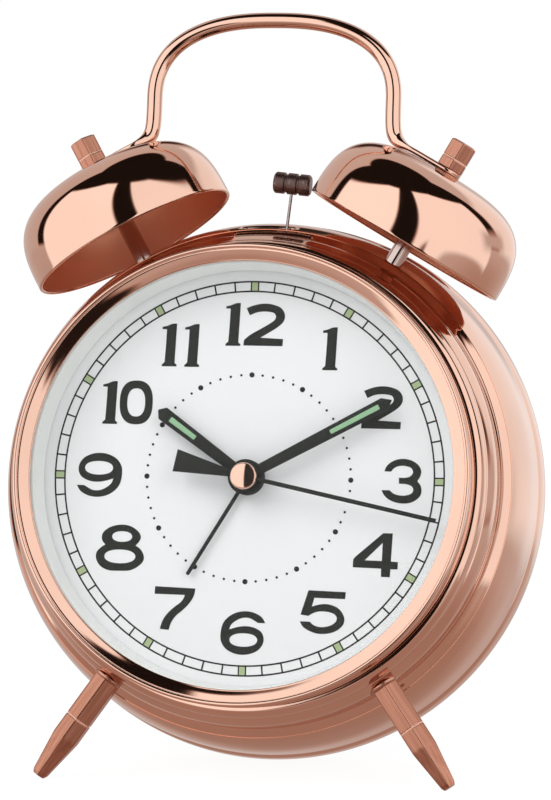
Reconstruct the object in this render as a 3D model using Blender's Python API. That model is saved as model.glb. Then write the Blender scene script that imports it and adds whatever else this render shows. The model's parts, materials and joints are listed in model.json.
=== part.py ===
"""Twin-bell alarm clock with a quartz movement, a carrying handle and a hammer between the bells.

The clock is drawn looking at its face: X to the right, Y towards twelve and Z out of the dial,
with the origin at the centre of the printed dial. Depths are measured from the dial towards the
back, so a depth of d lies at Z = -d. One empty then leans the whole clock back until its two front
feet and the rear rim of its case stand on the floor, in metres, with Z up.
"""

import math

import bmesh
import bpy
from mathutils import Matrix, Vector

MM = 0.001

# Shared clearances and overruns
GAP = 0.3 * MM
CUT_OVERRUN = 1.0 * MM
MERGE_DISTANCE = 0.001 * MM
SMOOTH_ANGLE = math.radians(32)

# Case: a spun sheet shell with a neck for the bezel, a ring, a drum and a rolled rear bead
CASE_WALL = 0.8 * MM
NECK_RADIUS = 48.6 * MM
NECK_FRONT = 9.0 * MM
SHOULDER_FRONT = 3.1 * MM
SHOULDER_WIDTH = 3.1 * MM
RING_FRONT_RADIUS = NECK_RADIUS + SHOULDER_WIDTH
RING_FRONT_DEPTH = 0.5 * MM
RING_RISE = 1.6 * MM
RING_RADIUS = RING_FRONT_RADIUS + RING_RISE
RING_CREST_DEPTH = 4.6 * MM
RING_BACK_DEPTH = 8.6 * MM
COVE_RISE = 2.2 * MM
DRUM_FRONT_RADIUS = RING_RADIUS + COVE_RISE
DRUM_FRONT_DEPTH = 12.1 * MM
DRUM_FLARE = 3.2 * MM
DRUM_REAR_RADIUS = DRUM_FRONT_RADIUS + DRUM_FLARE
BEAD_RISE = 0.7 * MM
BEAD_RADIUS = DRUM_REAR_RADIUS + BEAD_RISE
CASE_BACK_DEPTH = 43.6 * MM
BEAD_ROLL = 6.6 * MM
BEAD_DEPTH = CASE_BACK_DEPTH - BEAD_ROLL
BEAD_LEAD = 5.0 * MM
DRUM_REAR_DEPTH = BEAD_DEPTH - BEAD_LEAD
REAR_TURN_IN = 3.6 * MM
REAR_OPENING_RADIUS = BEAD_RADIUS - REAR_TURN_IN
REAR_LIP_WIDTH = 0.7 * MM
CASE_STEPS = 40
SHOULDER_SHARES = ((0.42, 0.0), (0.8, 0.3), (1.0, 1.0))
RING_SHARES = ((0.4, 0.1), (1.0, 1.0))
COVE_SHARES = ((0.14, 0.42), (0.72, 0.82), (1.0, 1.0))
DRUM_SHARES = ((0.46, 0.24), (0.8, 0.55), (1.0, 1.0))
BEAD_RISE_SHARES = ((0.7, 0.4), (1.0, 1.0))
BEAD_TURNS = 3
SEAT_SAMPLES = 4

# Bezel, crystal, white inner ring and dial
BEZEL_FACE_WIDTH = 2.7 * MM
BEZEL_INNER_RADIUS = NECK_RADIUS - BEZEL_FACE_WIDTH
BEZEL_FLANGE = 1.3 * MM
BEZEL_SKIRT = 0.7 * MM
BEZEL_LIP = 1.1 * MM
BEZEL_LIP_STEPS = 3
BEZEL_STEPS = 40
CRYSTAL_THICKNESS = 1.2 * MM
INNER_RING_WIDTH = 2.6 * MM
DIAL_VISIBLE_RADIUS = NECK_RADIUS - CASE_WALL - GAP - INNER_RING_WIDTH
INNER_RING_FLARE = 0.8 * MM
DIAL_THICKNESS = 0.5 * MM
FACE_STEPS = 36

# Centre stack: four hands on nested arbors
ARBOR_RADIUS = 0.4 * MM
PIPE_WALL = 0.35 * MM
NECK_WALL = 0.45 * MM
NECK_LEAD = 0.5 * MM
HAND_THICKNESS = 0.4 * MM
HAND_SPACING = 1.3 * MM
ALARM_ORDER, HOUR_ORDER, MINUTE_ORDER, SECOND_ORDER = range(4)
ALARM_HAND_HEIGHT = 1.0 * MM
BOSS_RADIUS = 3.8 * MM
BOSS_STEPS = 16
HOLE_STEPS = 10
CAP_RADIUS = 2.9 * MM
CAP_HEIGHT = 1.5 * MM
CAP_RINGS = 4
HOUR_LENGTH = 23.6 * MM
HOUR_WIDTH = 3.05 * MM
MINUTE_LENGTH = 35.2 * MM
MINUTE_WIDTH = 2.9 * MM
SECOND_LENGTH = 42.6 * MM
SECOND_WIDTH = 0.95 * MM
SECOND_TAIL = 15.5 * MM
SECOND_TAIL_WIDTH = 4.9 * MM
ALARM_LENGTH = 24.2 * MM
ALARM_WIDTH = 0.8 * MM
HOUR_ANGLE = math.radians(305.6)
MINUTE_ANGLE = math.radians(61.4)
SECOND_ANGLE = math.radians(101.8)
ALARM_ANGLE = math.radians(210.6)
HAND_OUTLINE_SHARES = ((0.0, 0.76), (0.55, 0.9), (0.95, 1.0), (1.0, 0.08))

# Movement: moulded case on a carrier plate, with the setting gears inside
PLATE_THICKNESS = 1.6 * MM
HOUSING_WIDTH = 50.0 * MM
HOUSING_TOP = 15.0 * MM
HOUSING_BOTTOM = 20.5 * MM
HOUSING_WALL = 1.0 * MM
HOUSING_CORNER = 2.5 * MM
HOUSING_DEPTH = 7.2 * MM
GEAR_THICKNESS = 0.9 * MM
GEAR_LEVEL = 1.25 * MM
ADDENDUM_SHARE = 0.7
DEDENDUM_SHARE = 0.95
TOOTH_TIP_SHARE = 0.16
TOOTH_ROOT_SHARE = 0.46
SETTING_DISTANCE = 10.8 * MM
ALARM_DISTANCE = 12.0 * MM
CANNON_TEETH = 8
MOTION_TEETH = 24
MOTION_PINION_TEETH = 8
HOUR_TEETH = 32
ALARM_TEETH = 24
ALARM_PINION_TEETH = 8
KNOB_ARBOR_RADIUS = 1.2 * MM

# Rear cover, knobs, switch and battery bay
COVER_THICKNESS = 1.8 * MM
COVER_SET_IN = 0.2 * MM
BATTERY_RADIUS = 7.1 * MM
BATTERY_LENGTH = 49.2 * MM
BATTERY_NUB_RADIUS = 2.6 * MM
BATTERY_NUB = 1.2 * MM
BATTERY_BEVEL = 0.5 * MM
CONTACT_THICKNESS = 0.5 * MM
CONTACT_SPACE = 2.4 * MM
BAY_WALL = 1.4 * MM
BAY_RIM = 3.4 * MM
BAY_SET_IN = 2.48 * MM
DOOR_LEDGE = 1.8 * MM
DOOR_THICKNESS = 1.3 * MM
DOOR_GRIP_COUNT = 5
DOOR_GRIP_WIDTH = 0.7 * MM
DOOR_GRIP_LENGTH = 7.0 * MM
KNOB_RADIUS = 7.2 * MM
KNOB_HEIGHT = 6.0 * MM
KNOB_FLUTES = 16
KNOB_FLUTE_DEPTH = 0.5 * MM
KNOB_RING_SHARES = ((1.0, 0.0), (0.98, 0.85), (0.86, 1.0))
SWITCH_RISE = 30.0 * MM
SWITCH_TRAVEL = 4.0 * MM
SWITCH_WIDTH = 5.0 * MM
SWITCH_HEIGHT = 3.2 * MM
SWITCH_PROUD = 1.8 * MM
SWITCH_RIDGES = 3
PILLAR_RADIUS = 2.5 * MM
PILLAR_SET_IN = 0.6 * MM
PILLAR_ANGLES = tuple(math.radians(a) for a in (50, 125, 235, 310))
PILLAR_WORDS = ("upper_right", "lower_right", "lower_left", "upper_left")
SCREW_RADIUS = 1.2 * MM
SCREW_LENGTH = 6.0 * MM
SCREW_HEAD_RADIUS = 2.3 * MM
SCREW_HEAD_HEIGHT = 1.4 * MM
SCREW_SLOT = 0.5 * MM

# Bells on radial posts, with washers, handle tabs and cap nuts
BELL_ANGLE = math.radians(29.6)
BELL_DEPTH = 14.5 * MM
BELL_RADIUS = 23.4 * MM
BELL_CLEARANCE = 0.9 * MM
BELL_RIM_REACH = BEAD_RADIUS + BELL_CLEARANCE
BELL_HEIGHT = 17.9 * MM
BELL_WALL = 0.8 * MM
BELL_STEPS = 28
BELL_SHARES = (
    (1.0, 0.0), (0.997, 0.22), (0.968, 0.44), (0.9, 0.64), (0.78, 0.81), (0.6, 0.925), (0.36, 0.985),
)
POST_RADIUS = 1.95 * MM
STUD_RADIUS = 1.3 * MM
WASHER_RADIUS = 3.4 * MM
WASHER_THICKNESS = 0.7 * MM
NUT_ACROSS = 5.3 * MM
NUT_HEIGHT = 6.4 * MM
NUT_BORE_DEPTH = 4.4 * MM
NUT_GROOVE = 0.3 * MM
NUT_GROOVE_WIDTH = 0.5 * MM
NUT_GROOVE_RISE = 2.2 * MM
NUT_CHAMFER = 0.6 * MM
LOCKNUT_ACROSS = 4.6 * MM
LOCKNUT_HEIGHT = 1.8 * MM

# Carrying handle: a round rod whose ends are flattened into tabs under the cap nuts
ROD_RADIUS = 1.75 * MM
ARCH_SET_IN = 12.97 * MM
ARCH_LIFT = 14.65 * MM
ARCH_RISE = 17.6 * MM
ARCH_POWER = 2.45
ARCH_POINTS = 10
BEND_POINTS = 7
BEND_DROP = 9.6 * MM
BEND_REACH = 9.5 * MM
TAB_WIDTH = 6.6 * MM
TAB_THICKNESS = 1.2 * MM
TAB_LENGTH = 9.4 * MM
TAB_OVERHANG = 3.3 * MM
TAB_MORPH_SHARE = 0.42
ROD_SIDES = 10

# Legs: hexagonal bars screwed radially into the ring of the case
LEG_ANGLE = math.radians(34.7)
LEG_DEPTH = 5.2 * MM
LEG_LENGTH = 24.2 * MM
LEG_ACROSS = 5.8 * MM
LEG_TIP_ACROSS = 3.3 * MM
LEG_GROOVE_DROP = 12.0 * MM
LEG_GROOVE = 0.35 * MM
LEG_GROOVE_WIDTH = 0.5 * MM
LEG_TAPER_DROP = 16.6 * MM
LEG_TIP_CHAMFER = 0.8 * MM
LEG_STUD_RADIUS = 1.5 * MM
FLANGE_RADIUS = 3.7 * MM
FLANGE_THICKNESS = 0.9 * MM
FLANGE_TOP_SHARE = 0.86

# Hammer: a lever on a pivot pin behind the movement, a wire through the case slot, and a head
HAMMER_PIVOT_RISE = 16.0 * MM
HEAD_LIFT = 1.77 * MM
HEAD_STAND_OFF = 0.51 * MM
HEAD_LENGTH = 8.1 * MM
HEAD_RADIUS = 2.35 * MM
HEAD_GROOVE = 0.35 * MM
HEAD_CHAMFER = 0.4 * MM
WIRE_RADIUS = 0.45 * MM
WIRE_SINK = 1.5 * MM
ARM_THICKNESS = 1.6 * MM
ARM_WIDTH = 2.6 * MM
ARM_REACH = 14.0 * MM
HUB_RADIUS = 3.0 * MM
PIN_RADIUS = 1.0 * MM
ARMATURE_TOP = 4.0 * MM
ARMATURE_DROP = 13.0 * MM
ARMATURE_WIDTH = 3.2 * MM
ARMATURE_DEPTH = 5.4 * MM
SLOT_MARGIN = 1.8 * MM
SLOT_WIDTH = 2.4 * MM
BRACKET_LEFT = 8.0 * MM
BRACKET_DROP = 13.4 * MM
BRACKET_RISE = 5.0 * MM
BRACKET_THICKNESS = 1.2 * MM
COIL_RADIUS = 3.4 * MM
COIL_LENGTH = 9.0 * MM
COIL_FLANGE = 0.8 * MM
COIL_NECK = 0.6 * MM
CORE_RADIUS = 1.3 * MM
YOKE_THICKNESS = 1.2 * MM
MAGNET_DROP = 8.6 * MM


def clear_scene():
    for item in list(bpy.data.objects):
        bpy.data.objects.remove(item, do_unlink=True)


def finish_of(name, colour, roughness, metallic, alpha=1.0):
    """A plain surface finish, made once for each name."""
    found = bpy.data.materials.get(name)
    if found:
        return found
    made = bpy.data.materials.new(name)
    made.use_nodes = True
    shader = made.node_tree.nodes["Principled BSDF"]
    shader.inputs["Base Color"].default_value = (*colour, 1.0)
    shader.inputs["Roughness"].default_value = roughness
    shader.inputs["Metallic"].default_value = metallic
    shader.inputs["Alpha"].default_value = alpha
    return made


def rose_plate(name):
    return finish_of(name + "_finish", (0.80, 0.44, 0.31), 0.12, 1.0)


def steel(name):
    return finish_of(name + "_finish", (0.55, 0.54, 0.53), 0.25, 1.0)


def brass(name):
    return finish_of(name + "_finish", (0.75, 0.55, 0.25), 0.3, 1.0)


def moulding(name, colour):
    return finish_of(name + "_finish", colour, 0.45, 0.0)


WHITE = (0.80, 0.81, 0.80)
BLACK = (0.02, 0.02, 0.02)
GREY = (0.25, 0.26, 0.27)


def empty_frame(name, parent=None, place=None):
    frame = bpy.data.objects.new(name, None)
    bpy.context.scene.collection.objects.link(frame)
    frame.parent = parent
    if place is not None:
        frame.matrix_local = place
    return frame


def piece(name, shape, finish, parent, place=None):
    """Put a finished shape into the scene as a named piece under its parent frame."""
    mesh = bpy.data.meshes.new(name)
    shape.to_mesh(mesh)
    shape.free()
    mesh.shade_smooth()
    mesh.set_sharp_from_angle(angle=SMOOTH_ANGLE)
    made = bpy.data.objects.new(name, mesh)
    bpy.context.scene.collection.objects.link(made)
    made.parent = parent
    if place is not None:
        made.matrix_local = place
    if finish is not None:
        mesh.materials.append(finish)
    return made


def tool_body(name, shape, parent, place=None):
    """A cutter or a body that is joined into another piece: it isn't a piece of its own."""
    made = piece(name, shape, None, parent, place)
    made.hide_render = True
    made.display_type = "WIRE"
    return made


def combine(target, other, operation):
    change = target.modifiers.new(other.name, "BOOLEAN")
    change.operation = operation
    change.solver = "EXACT"
    change.object = other


def turned(profile, steps):
    """Spin a profile of (radius, height) points round Z; it is closed or ends on the axis."""
    shape = bmesh.new()
    points = [shape.verts.new((radius, 0, height)) for radius, height in profile]
    edges = [shape.edges.new(pair) for pair in zip(points, points[1:])]
    if profile[0][0] > 0:
        edges.append(shape.edges.new((points[-1], points[0])))
    bmesh.ops.spin(
        shape,
        geom=points + edges,
        cent=(0, 0, 0),
        axis=(0, 0, 1),
        angle=math.tau,
        steps=steps,
        use_merge=True,
    )
    bmesh.ops.remove_doubles(shape, verts=shape.verts, dist=MERGE_DISTANCE)
    bmesh.ops.recalc_face_normals(shape, faces=shape.faces)
    return shape


def plate(loops, low, high):
    """A flat plate between two heights: the first loop is its edge, the others are its holes."""
    shape = bmesh.new()
    edges = []
    for loop in loops:
        points = [shape.verts.new((x, y, low)) for x, y in loop]
        edges += [shape.edges.new((points[i - 1], points[i])) for i in range(len(points))]
    bmesh.ops.triangle_fill(shape, edges=edges, use_beauty=True)
    grown = bmesh.ops.extrude_face_region(shape, geom=shape.faces[:])
    top = [item for item in grown["geom"] if isinstance(item, bmesh.types.BMVert)]
    bmesh.ops.translate(shape, verts=top, vec=(0, 0, high - low))
    bmesh.ops.recalc_face_normals(shape, faces=shape.faces)
    return shape


def lofted(rings):
    """Skin a row of rings that have the same number of points, and close both ends."""
    shape = bmesh.new()
    rows = [[shape.verts.new(point) for point in ring] for ring in rings]
    for row, following in zip(rows, rows[1:]):
        for i in range(len(row)):
            shape.faces.new((row[i - 1], row[i], following[i], following[i - 1]))
    shape.faces.new(rows[0])
    shape.faces.new(rows[-1])
    bmesh.ops.recalc_face_normals(shape, faces=shape.faces)
    return shape


def joined(*shapes):
    """Several separate closed bodies in one mesh."""
    whole = bmesh.new()
    for shape in shapes:
        part = bpy.data.meshes.new("part")
        shape.to_mesh(part)
        shape.free()
        whole.from_mesh(part)
        bpy.data.meshes.remove(part)
    return whole


def moved(shape, place):
    bmesh.ops.transform(shape, matrix=place, verts=shape.verts)
    return shape


def circle(radius, steps, x=0.0, y=0.0, start=0.0):
    turns = [start + math.tau * i / steps for i in range(steps)]
    return [(x + radius * math.cos(turn), y + radius * math.sin(turn)) for turn in turns]


def rounded_box(width, low, high, corner, x=0.0, steps=3):
    """The outline of an upright rectangle with rounded corners."""
    points = []
    centres = (
        (x + width / 2 - corner, high - corner),
        (x - width / 2 + corner, high - corner),
        (x - width / 2 + corner, low + corner),
        (x + width / 2 - corner, low + corner),
    )
    for quarter, (cx, cy) in enumerate(centres):
        for i in range(steps + 1):
            turn = math.pi / 2 * (quarter + i / steps)
            points.append((cx + corner * math.cos(turn), cy + corner * math.sin(turn)))
    return points


def gear_outline(teeth, module, phase):
    """Straight-sided teeth round a pitch circle, the first tooth centred on the phase angle."""
    pitch_radius = teeth * module / 2
    tip_radius = pitch_radius + ADDENDUM_SHARE * module
    root_radius = pitch_radius - DEDENDUM_SHARE * module
    pitch = math.tau / teeth
    points = []
    for tooth in range(teeth):
        middle = phase + tooth * pitch
        flank = (
            (root_radius, -TOOTH_ROOT_SHARE / 2),
            (tip_radius, -TOOTH_TIP_SHARE / 2),
            (tip_radius, TOOTH_TIP_SHARE / 2),
            (root_radius, TOOTH_ROOT_SHARE / 2),
        )
        for radius, share in flank:
            turn = middle + share * pitch
            points.append((radius * math.cos(turn), radius * math.sin(turn)))
    return points


def gear_module(distance, teeth, other_teeth):
    return 2 * distance / (teeth + other_teeth)


def at(x=0.0, y=0.0, depth=0.0, turn=0.0):
    """A place on the clock, turned clockwise as a hand turns."""
    return Matrix.Translation((x, y, -depth)) @ Matrix.Rotation(-turn, 4, "Z")


def radial(angle, depth):
    """A place on the clock's axis whose Z runs outwards at an angle clockwise from twelve."""
    outwards = Matrix.Rotation(-angle, 4, "Z") @ Matrix.Rotation(-math.pi / 2, 4, "X")
    return Matrix.Translation((0, 0, -depth)) @ outwards


def offset_inwards(profile, wall):
    """Move a (radius, depth) profile inwards by a wall, along the mean normal of its sides."""
    normals = []
    for (r0, d0), (r1, d1) in zip(profile, profile[1:]):
        length = math.hypot(r1 - r0, d1 - d0)
        normals.append(Vector((-(d1 - d0) / length, (r1 - r0) / length)))
    moved_points = []
    for i, (radius, depth) in enumerate(profile):
        before = normals[max(i - 1, 0)]
        after = normals[min(i, len(normals) - 1)]
        mean = (before + after).normalized()
        step = mean * (wall / mean.dot(after))
        moved_points.append((radius + step.x, depth + step.y))
    return moved_points


def blended(start, end, shares):
    """Points between two (radius, depth) corners, given as shares of the way."""
    return [
        (start[0] + (end[0] - start[0]) * radius_share, start[1] + (end[1] - start[1]) * depth_share)
        for radius_share, depth_share in shares
    ]


def case_profile(corners_only=False):
    """The outer side of the case as (radius, depth), from its neck to its rear opening.

    With corners only, the bulges between the corners are left straight, as they are inside.
    """
    shoulder = (NECK_RADIUS, -SHOULDER_FRONT)
    ring_front = (RING_FRONT_RADIUS, RING_FRONT_DEPTH)
    ring_crest = (RING_RADIUS, RING_CREST_DEPTH)
    ring_back = (RING_RADIUS, RING_BACK_DEPTH)
    drum_front = (DRUM_FRONT_RADIUS, DRUM_FRONT_DEPTH)
    drum_rear = (DRUM_REAR_RADIUS, DRUM_REAR_DEPTH)
    crest = (BEAD_RADIUS, BEAD_DEPTH)
    bulges = (SHOULDER_SHARES, RING_SHARES, DRUM_SHARES, BEAD_RISE_SHARES)
    if corners_only:
        bulges = [shares[-1:] for shares in bulges]
    shoulder_shares, ring_shares, drum_shares, rise_shares = bulges
    profile = [(NECK_RADIUS, -NECK_FRONT), shoulder]
    profile += blended(shoulder, ring_front, shoulder_shares)
    profile += blended(ring_front, ring_crest, ring_shares)
    profile.append(ring_back)
    profile += blended(ring_back, drum_front, COVE_SHARES)
    profile += blended(drum_front, drum_rear, drum_shares)
    profile += blended(drum_rear, crest, rise_shares)
    lip_radius = REAR_OPENING_RADIUS + REAR_LIP_WIDTH
    for i in range(1, BEAD_TURNS + 1):
        turn = math.pi / 2 * i / BEAD_TURNS
        radius = lip_radius + (BEAD_RADIUS - lip_radius) * math.cos(turn)
        depth = BEAD_DEPTH + (CASE_BACK_DEPTH - BEAD_DEPTH) * math.sin(turn)
        profile.append((radius, depth))
    profile.append((REAR_OPENING_RADIUS, CASE_BACK_DEPTH))
    return profile


def case_radius(depth):
    """The outer radius of the case at a depth behind the dial."""
    profile = case_profile()
    for (r0, d0), (r1, d1) in zip(profile, profile[1:]):
        if d0 <= depth <= d1 and d1 > d0:
            return r0 + (r1 - r0) * (depth - d0) / (d1 - d0)
    return REAR_OPENING_RADIUS


def seat_inside(depth, half_width):
    """The reach of a nut's top against the inside of the case, clear of its flat facets."""
    spots = [depth + half_width * i / SEAT_SAMPLES for i in range(-SEAT_SAMPLES, SEAT_SAMPLES + 1)]
    least = min(case_radius(spot) for spot in spots) * math.cos(math.pi / CASE_STEPS)
    return least - CASE_WALL - GAP


def seat_outside(depth, half_width):
    """The reach of a seat that clears the outside of the case over its whole width."""
    spots = [depth + half_width * i / SEAT_SAMPLES for i in range(-SEAT_SAMPLES, SEAT_SAMPLES + 1)]
    return max(case_radius(spot) for spot in spots) + GAP


def clock_frame():
    """The leaning frame: the line from the foot tips touches the rear bead of the case."""
    foot_drop = leg_tip_reach() * math.cos(LEG_ANGLE) + leg_tip_half_width() * math.sin(LEG_ANGLE)
    bead_drop = case_radius(BEAD_DEPTH)
    lean = math.atan2(foot_drop - bead_drop, BEAD_DEPTH - LEG_DEPTH)
    profile = case_profile()
    for _ in range(len(profile)):
        low = max(profile, key=lambda point: point[0] * math.cos(lean) + point[1] * math.sin(lean))
        lean = math.atan2(foot_drop - low[0], low[1] - LEG_DEPTH)
    upright = Matrix.Rotation(math.pi / 2 - lean, 4, "X")
    foot = upright @ Vector((0, -foot_drop, -LEG_DEPTH))
    front = upright @ Vector((0, -NECK_RADIUS - BEZEL_SKIRT - GAP, bezel_front()))
    back = upright @ Vector((0, REAR_OPENING_RADIUS + REAR_LIP_WIDTH, -CASE_BACK_DEPTH))
    middle = (front.y + back.y) / 2
    return empty_frame("clock", None, Matrix.Translation((0, -middle, -foot.z)) @ upright)


def bezel_front():
    return NECK_FRONT + 2 * GAP + BEZEL_FLANGE


def leg_tip_half_width():
    return LEG_TIP_ACROSS / 2 - LEG_TIP_CHAMFER / 2


def leg_start_reach():
    """The reach at which a leg's bar starts, on top of its flange."""
    return seat_outside(LEG_DEPTH, FLANGE_RADIUS) + FLANGE_THICKNESS + GAP


def leg_tip_reach():
    return leg_start_reach() + LEG_LENGTH


def build_case(clock):
    outer = case_profile()
    loop = outer + offset_inwards(case_profile(corners_only=True), CASE_WALL)[::-1]
    shape = turned([(radius, -depth) for radius, depth in loop], CASE_STEPS)
    shell = piece("case_shell", shape, rose_plate("case_shell"), clock)
    reach = BEAD_RADIUS + CUT_OVERRUN
    holes = []
    for side in (-1, 1):
        leg_hole = plate([circle(LEG_STUD_RADIUS + GAP, HOLE_STEPS)], NECK_RADIUS / 2, reach)
        holes.append(moved(leg_hole, radial(math.pi - side * LEG_ANGLE, LEG_DEPTH)))
        post_hole = plate([circle(STUD_RADIUS + GAP, HOLE_STEPS)], NECK_RADIUS / 2, reach)
        holes.append(moved(post_hole, radial(side * BELL_ANGLE, BELL_DEPTH)))
    wire_sweep = (case_radius(BELL_DEPTH) - HAMMER_PIVOT_RISE) * math.tan(hammer_rest()[0])
    slot_length = 2 * (wire_sweep + WIRE_RADIUS + SLOT_MARGIN)
    slot_outline = rounded_box(
        slot_length, -SLOT_WIDTH / 2, SLOT_WIDTH / 2, SLOT_WIDTH / 2 - MERGE_DISTANCE
    )
    slot = plate([slot_outline], NECK_RADIUS / 2, reach)
    holes.append(moved(slot, radial(0, BELL_DEPTH)))
    combine(shell, tool_body("case_holes", joined(*holes), clock), "DIFFERENCE")


def build_face(clock):
    """Bezel, crystal, the white ring inside it and the dial."""
    skirt_inner = NECK_RADIUS + GAP
    skirt_outer = skirt_inner + BEZEL_SKIRT
    front = bezel_front()
    crystal_front = NECK_FRONT + GAP
    under = crystal_front + GAP
    lip_centre = skirt_outer - BEZEL_LIP / 2
    profile = [
        (BEZEL_INNER_RADIUS, under),
        (BEZEL_INNER_RADIUS, front - BEZEL_FLANGE / 2),
        (BEZEL_INNER_RADIUS + BEZEL_FLANGE / 4, front - BEZEL_FLANGE / 4),
        (lip_centre - BEZEL_LIP, front),
    ]
    for i in range(BEZEL_LIP_STEPS + 1):
        turn = math.pi * (1 - i / BEZEL_LIP_STEPS)
        rise = BEZEL_LIP / 2 * math.sin(turn)
        profile.append((lip_centre + BEZEL_LIP / 2 * math.cos(turn), front + rise))
    profile += [
        (skirt_outer, SHOULDER_FRONT + GAP),
        (skirt_inner, SHOULDER_FRONT + GAP),
        (skirt_inner, under),
    ]
    piece("bezel_ring", turned(profile, BEZEL_STEPS), rose_plate("bezel_ring"), clock)

    inner_wall = NECK_RADIUS - CASE_WALL
    edge = inner_wall - GAP
    crystal_back = crystal_front - CRYSTAL_THICKNESS
    disc = [(0, crystal_back), (edge, crystal_back), (edge, crystal_front), (0, crystal_front)]
    glass = finish_of("crystal_finish", (0.95, 0.97, 0.97), 0.03, 0.0, 0.15)
    piece("crystal", turned(disc, FACE_STEPS), glass, clock)

    ring = [
        (DIAL_VISIBLE_RADIUS, GAP),
        (edge, GAP),
        (edge, crystal_back - GAP),
        (DIAL_VISIBLE_RADIUS + INNER_RING_FLARE, crystal_back - GAP),
    ]
    piece("inner_ring", turned(ring, FACE_STEPS), moulding("inner_ring", WHITE), clock)

    hole = neck_outer_radius() + GAP
    dial = [(hole, -DIAL_THICKNESS), (edge, -DIAL_THICKNESS), (edge, 0), (hole, 0)]
    piece("dial", turned(dial, FACE_STEPS), moulding("dial", WHITE), clock)


def pipe_radii(level):
    """Inner and outer radius of a nested pipe; level 0 is next to the seconds arbor."""
    inner = ARBOR_RADIUS + GAP + level * (PIPE_WALL + GAP)
    return inner, inner + PIPE_WALL


def neck_outer_radius():
    return pipe_radii(MINUTE_ORDER - ALARM_ORDER)[1] + GAP + NECK_WALL


def carrier_radius():
    return RING_FRONT_RADIUS - CASE_WALL - GAP


def plate_front_depth():
    return DIAL_THICKNESS + GAP


def housing_front_depth():
    return plate_front_depth() + PLATE_THICKNESS + GAP


def housing_back_depth():
    return housing_front_depth() + HOUSING_DEPTH


def gear_depth(level):
    """Front of a gear level inside the movement; level 0 is next to its front wall."""
    return housing_front_depth() + HOUSING_WALL + GAP + level * GEAR_LEVEL


def hand_height(order):
    """Back face of a hand above the dial; order 0 is the alarm hand."""
    return ALARM_HAND_HEIGHT + order * HAND_SPACING


def pipe_piece(level, front_height, back_depth):
    inner, outer = pipe_radii(level)
    profile = [(inner, -back_depth), (outer, -back_depth), (outer, front_height), (inner, front_height)]
    return turned(profile, BOSS_STEPS)


def hand_bore(order):
    """The hole in a hand's boss, which takes its pipe or the seconds arbor."""
    if order == SECOND_ORDER:
        return ARBOR_RADIUS + GAP
    return pipe_radii(MINUTE_ORDER - order)[1] + GAP


def boss(order, radius, thickness):
    """The round middle of a hand, pressed on its pipe."""
    low = hand_height(order)
    bore = hand_bore(order)
    return plate([circle(radius, BOSS_STEPS), circle(bore, BOSS_STEPS)], low, low + thickness)


def sword_outline(length, width):
    """A sword-shaped blade, widest near its pointed tip, both sides from one row of shares."""
    right = [
        (width / 2 * half_share, length * along_share) for along_share, half_share in HAND_OUTLINE_SHARES
    ]
    return right + [(-x, y) for x, y in right[::-1]]


def build_hand(name, order, blade, frame, finish, boss_radius):
    """A hand: its blades reach out from the boss, and the boss keeps its bore clear."""
    low = hand_height(order)
    bore = hand_bore(order)
    hand = piece(name, boss(order, boss_radius, HAND_THICKNESS), finish, frame)
    for i, outline in enumerate(blade):
        arm = tool_body(f"{name}_blade_{i}", plate([outline], low, low + HAND_THICKNESS), frame)
        combine(hand, arm, "UNION")
    cut = plate([circle(bore, BOSS_STEPS)], low - CUT_OVERRUN, low + HAND_THICKNESS + CUT_OVERRUN)
    combine(hand, tool_body(f"{name}_bore", cut, frame), "DIFFERENCE")
    return hand


def hand_frames(clock):
    angles = {"alarm": ALARM_ANGLE, "hour": HOUR_ANGLE, "minute": MINUTE_ANGLE, "second": SECOND_ANGLE}
    return {name: empty_frame(f"{name}_axis", clock, at(turn=angle)) for name, angle in angles.items()}


def build_hands(frames):
    ink = moulding("hand_black", BLACK)
    alarm = [(-ALARM_WIDTH / 2, 0), (ALARM_WIDTH / 2, 0)]
    alarm += [(ALARM_WIDTH / 2, ALARM_LENGTH), (-ALARM_WIDTH / 2, ALARM_LENGTH)]
    build_hand("alarm_hand", ALARM_ORDER, [alarm], frames["alarm"], ink, BOSS_RADIUS)
    hour = sword_outline(HOUR_LENGTH, HOUR_WIDTH)
    build_hand("hour_hand", HOUR_ORDER, [hour], frames["hour"], ink, BOSS_RADIUS)
    minute = sword_outline(MINUTE_LENGTH, MINUTE_WIDTH)
    build_hand("minute_hand", MINUTE_ORDER, [minute], frames["minute"], ink, BOSS_RADIUS)
    needle = [(SECOND_WIDTH / 2, 0), (SECOND_WIDTH / 2, SECOND_LENGTH)]
    needle += [(-x, y) for x, y in needle[::-1]]
    tail = [(SECOND_WIDTH / 2, 0), (-SECOND_WIDTH / 2, 0)]
    tail += [(-SECOND_TAIL_WIDTH / 2, -SECOND_TAIL), (SECOND_TAIL_WIDTH / 2, -SECOND_TAIL)]
    build_hand("second_hand", SECOND_ORDER, [needle, tail], frames["second"], ink, CAP_RADIUS)
    top = hand_height(SECOND_ORDER) + HAND_THICKNESS + GAP
    dome = [(0, top), (CAP_RADIUS, top)]
    for i in range(1, CAP_RINGS):
        turn = math.pi / 2 * i / CAP_RINGS
        dome.append((CAP_RADIUS * math.cos(turn), top + CAP_HEIGHT * math.sin(turn)))
    dome.append((0, top + CAP_HEIGHT))
    piece("hand_cap", turned(dome, BOSS_STEPS), rose_plate("hand_cap"), frames["second"])


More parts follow.
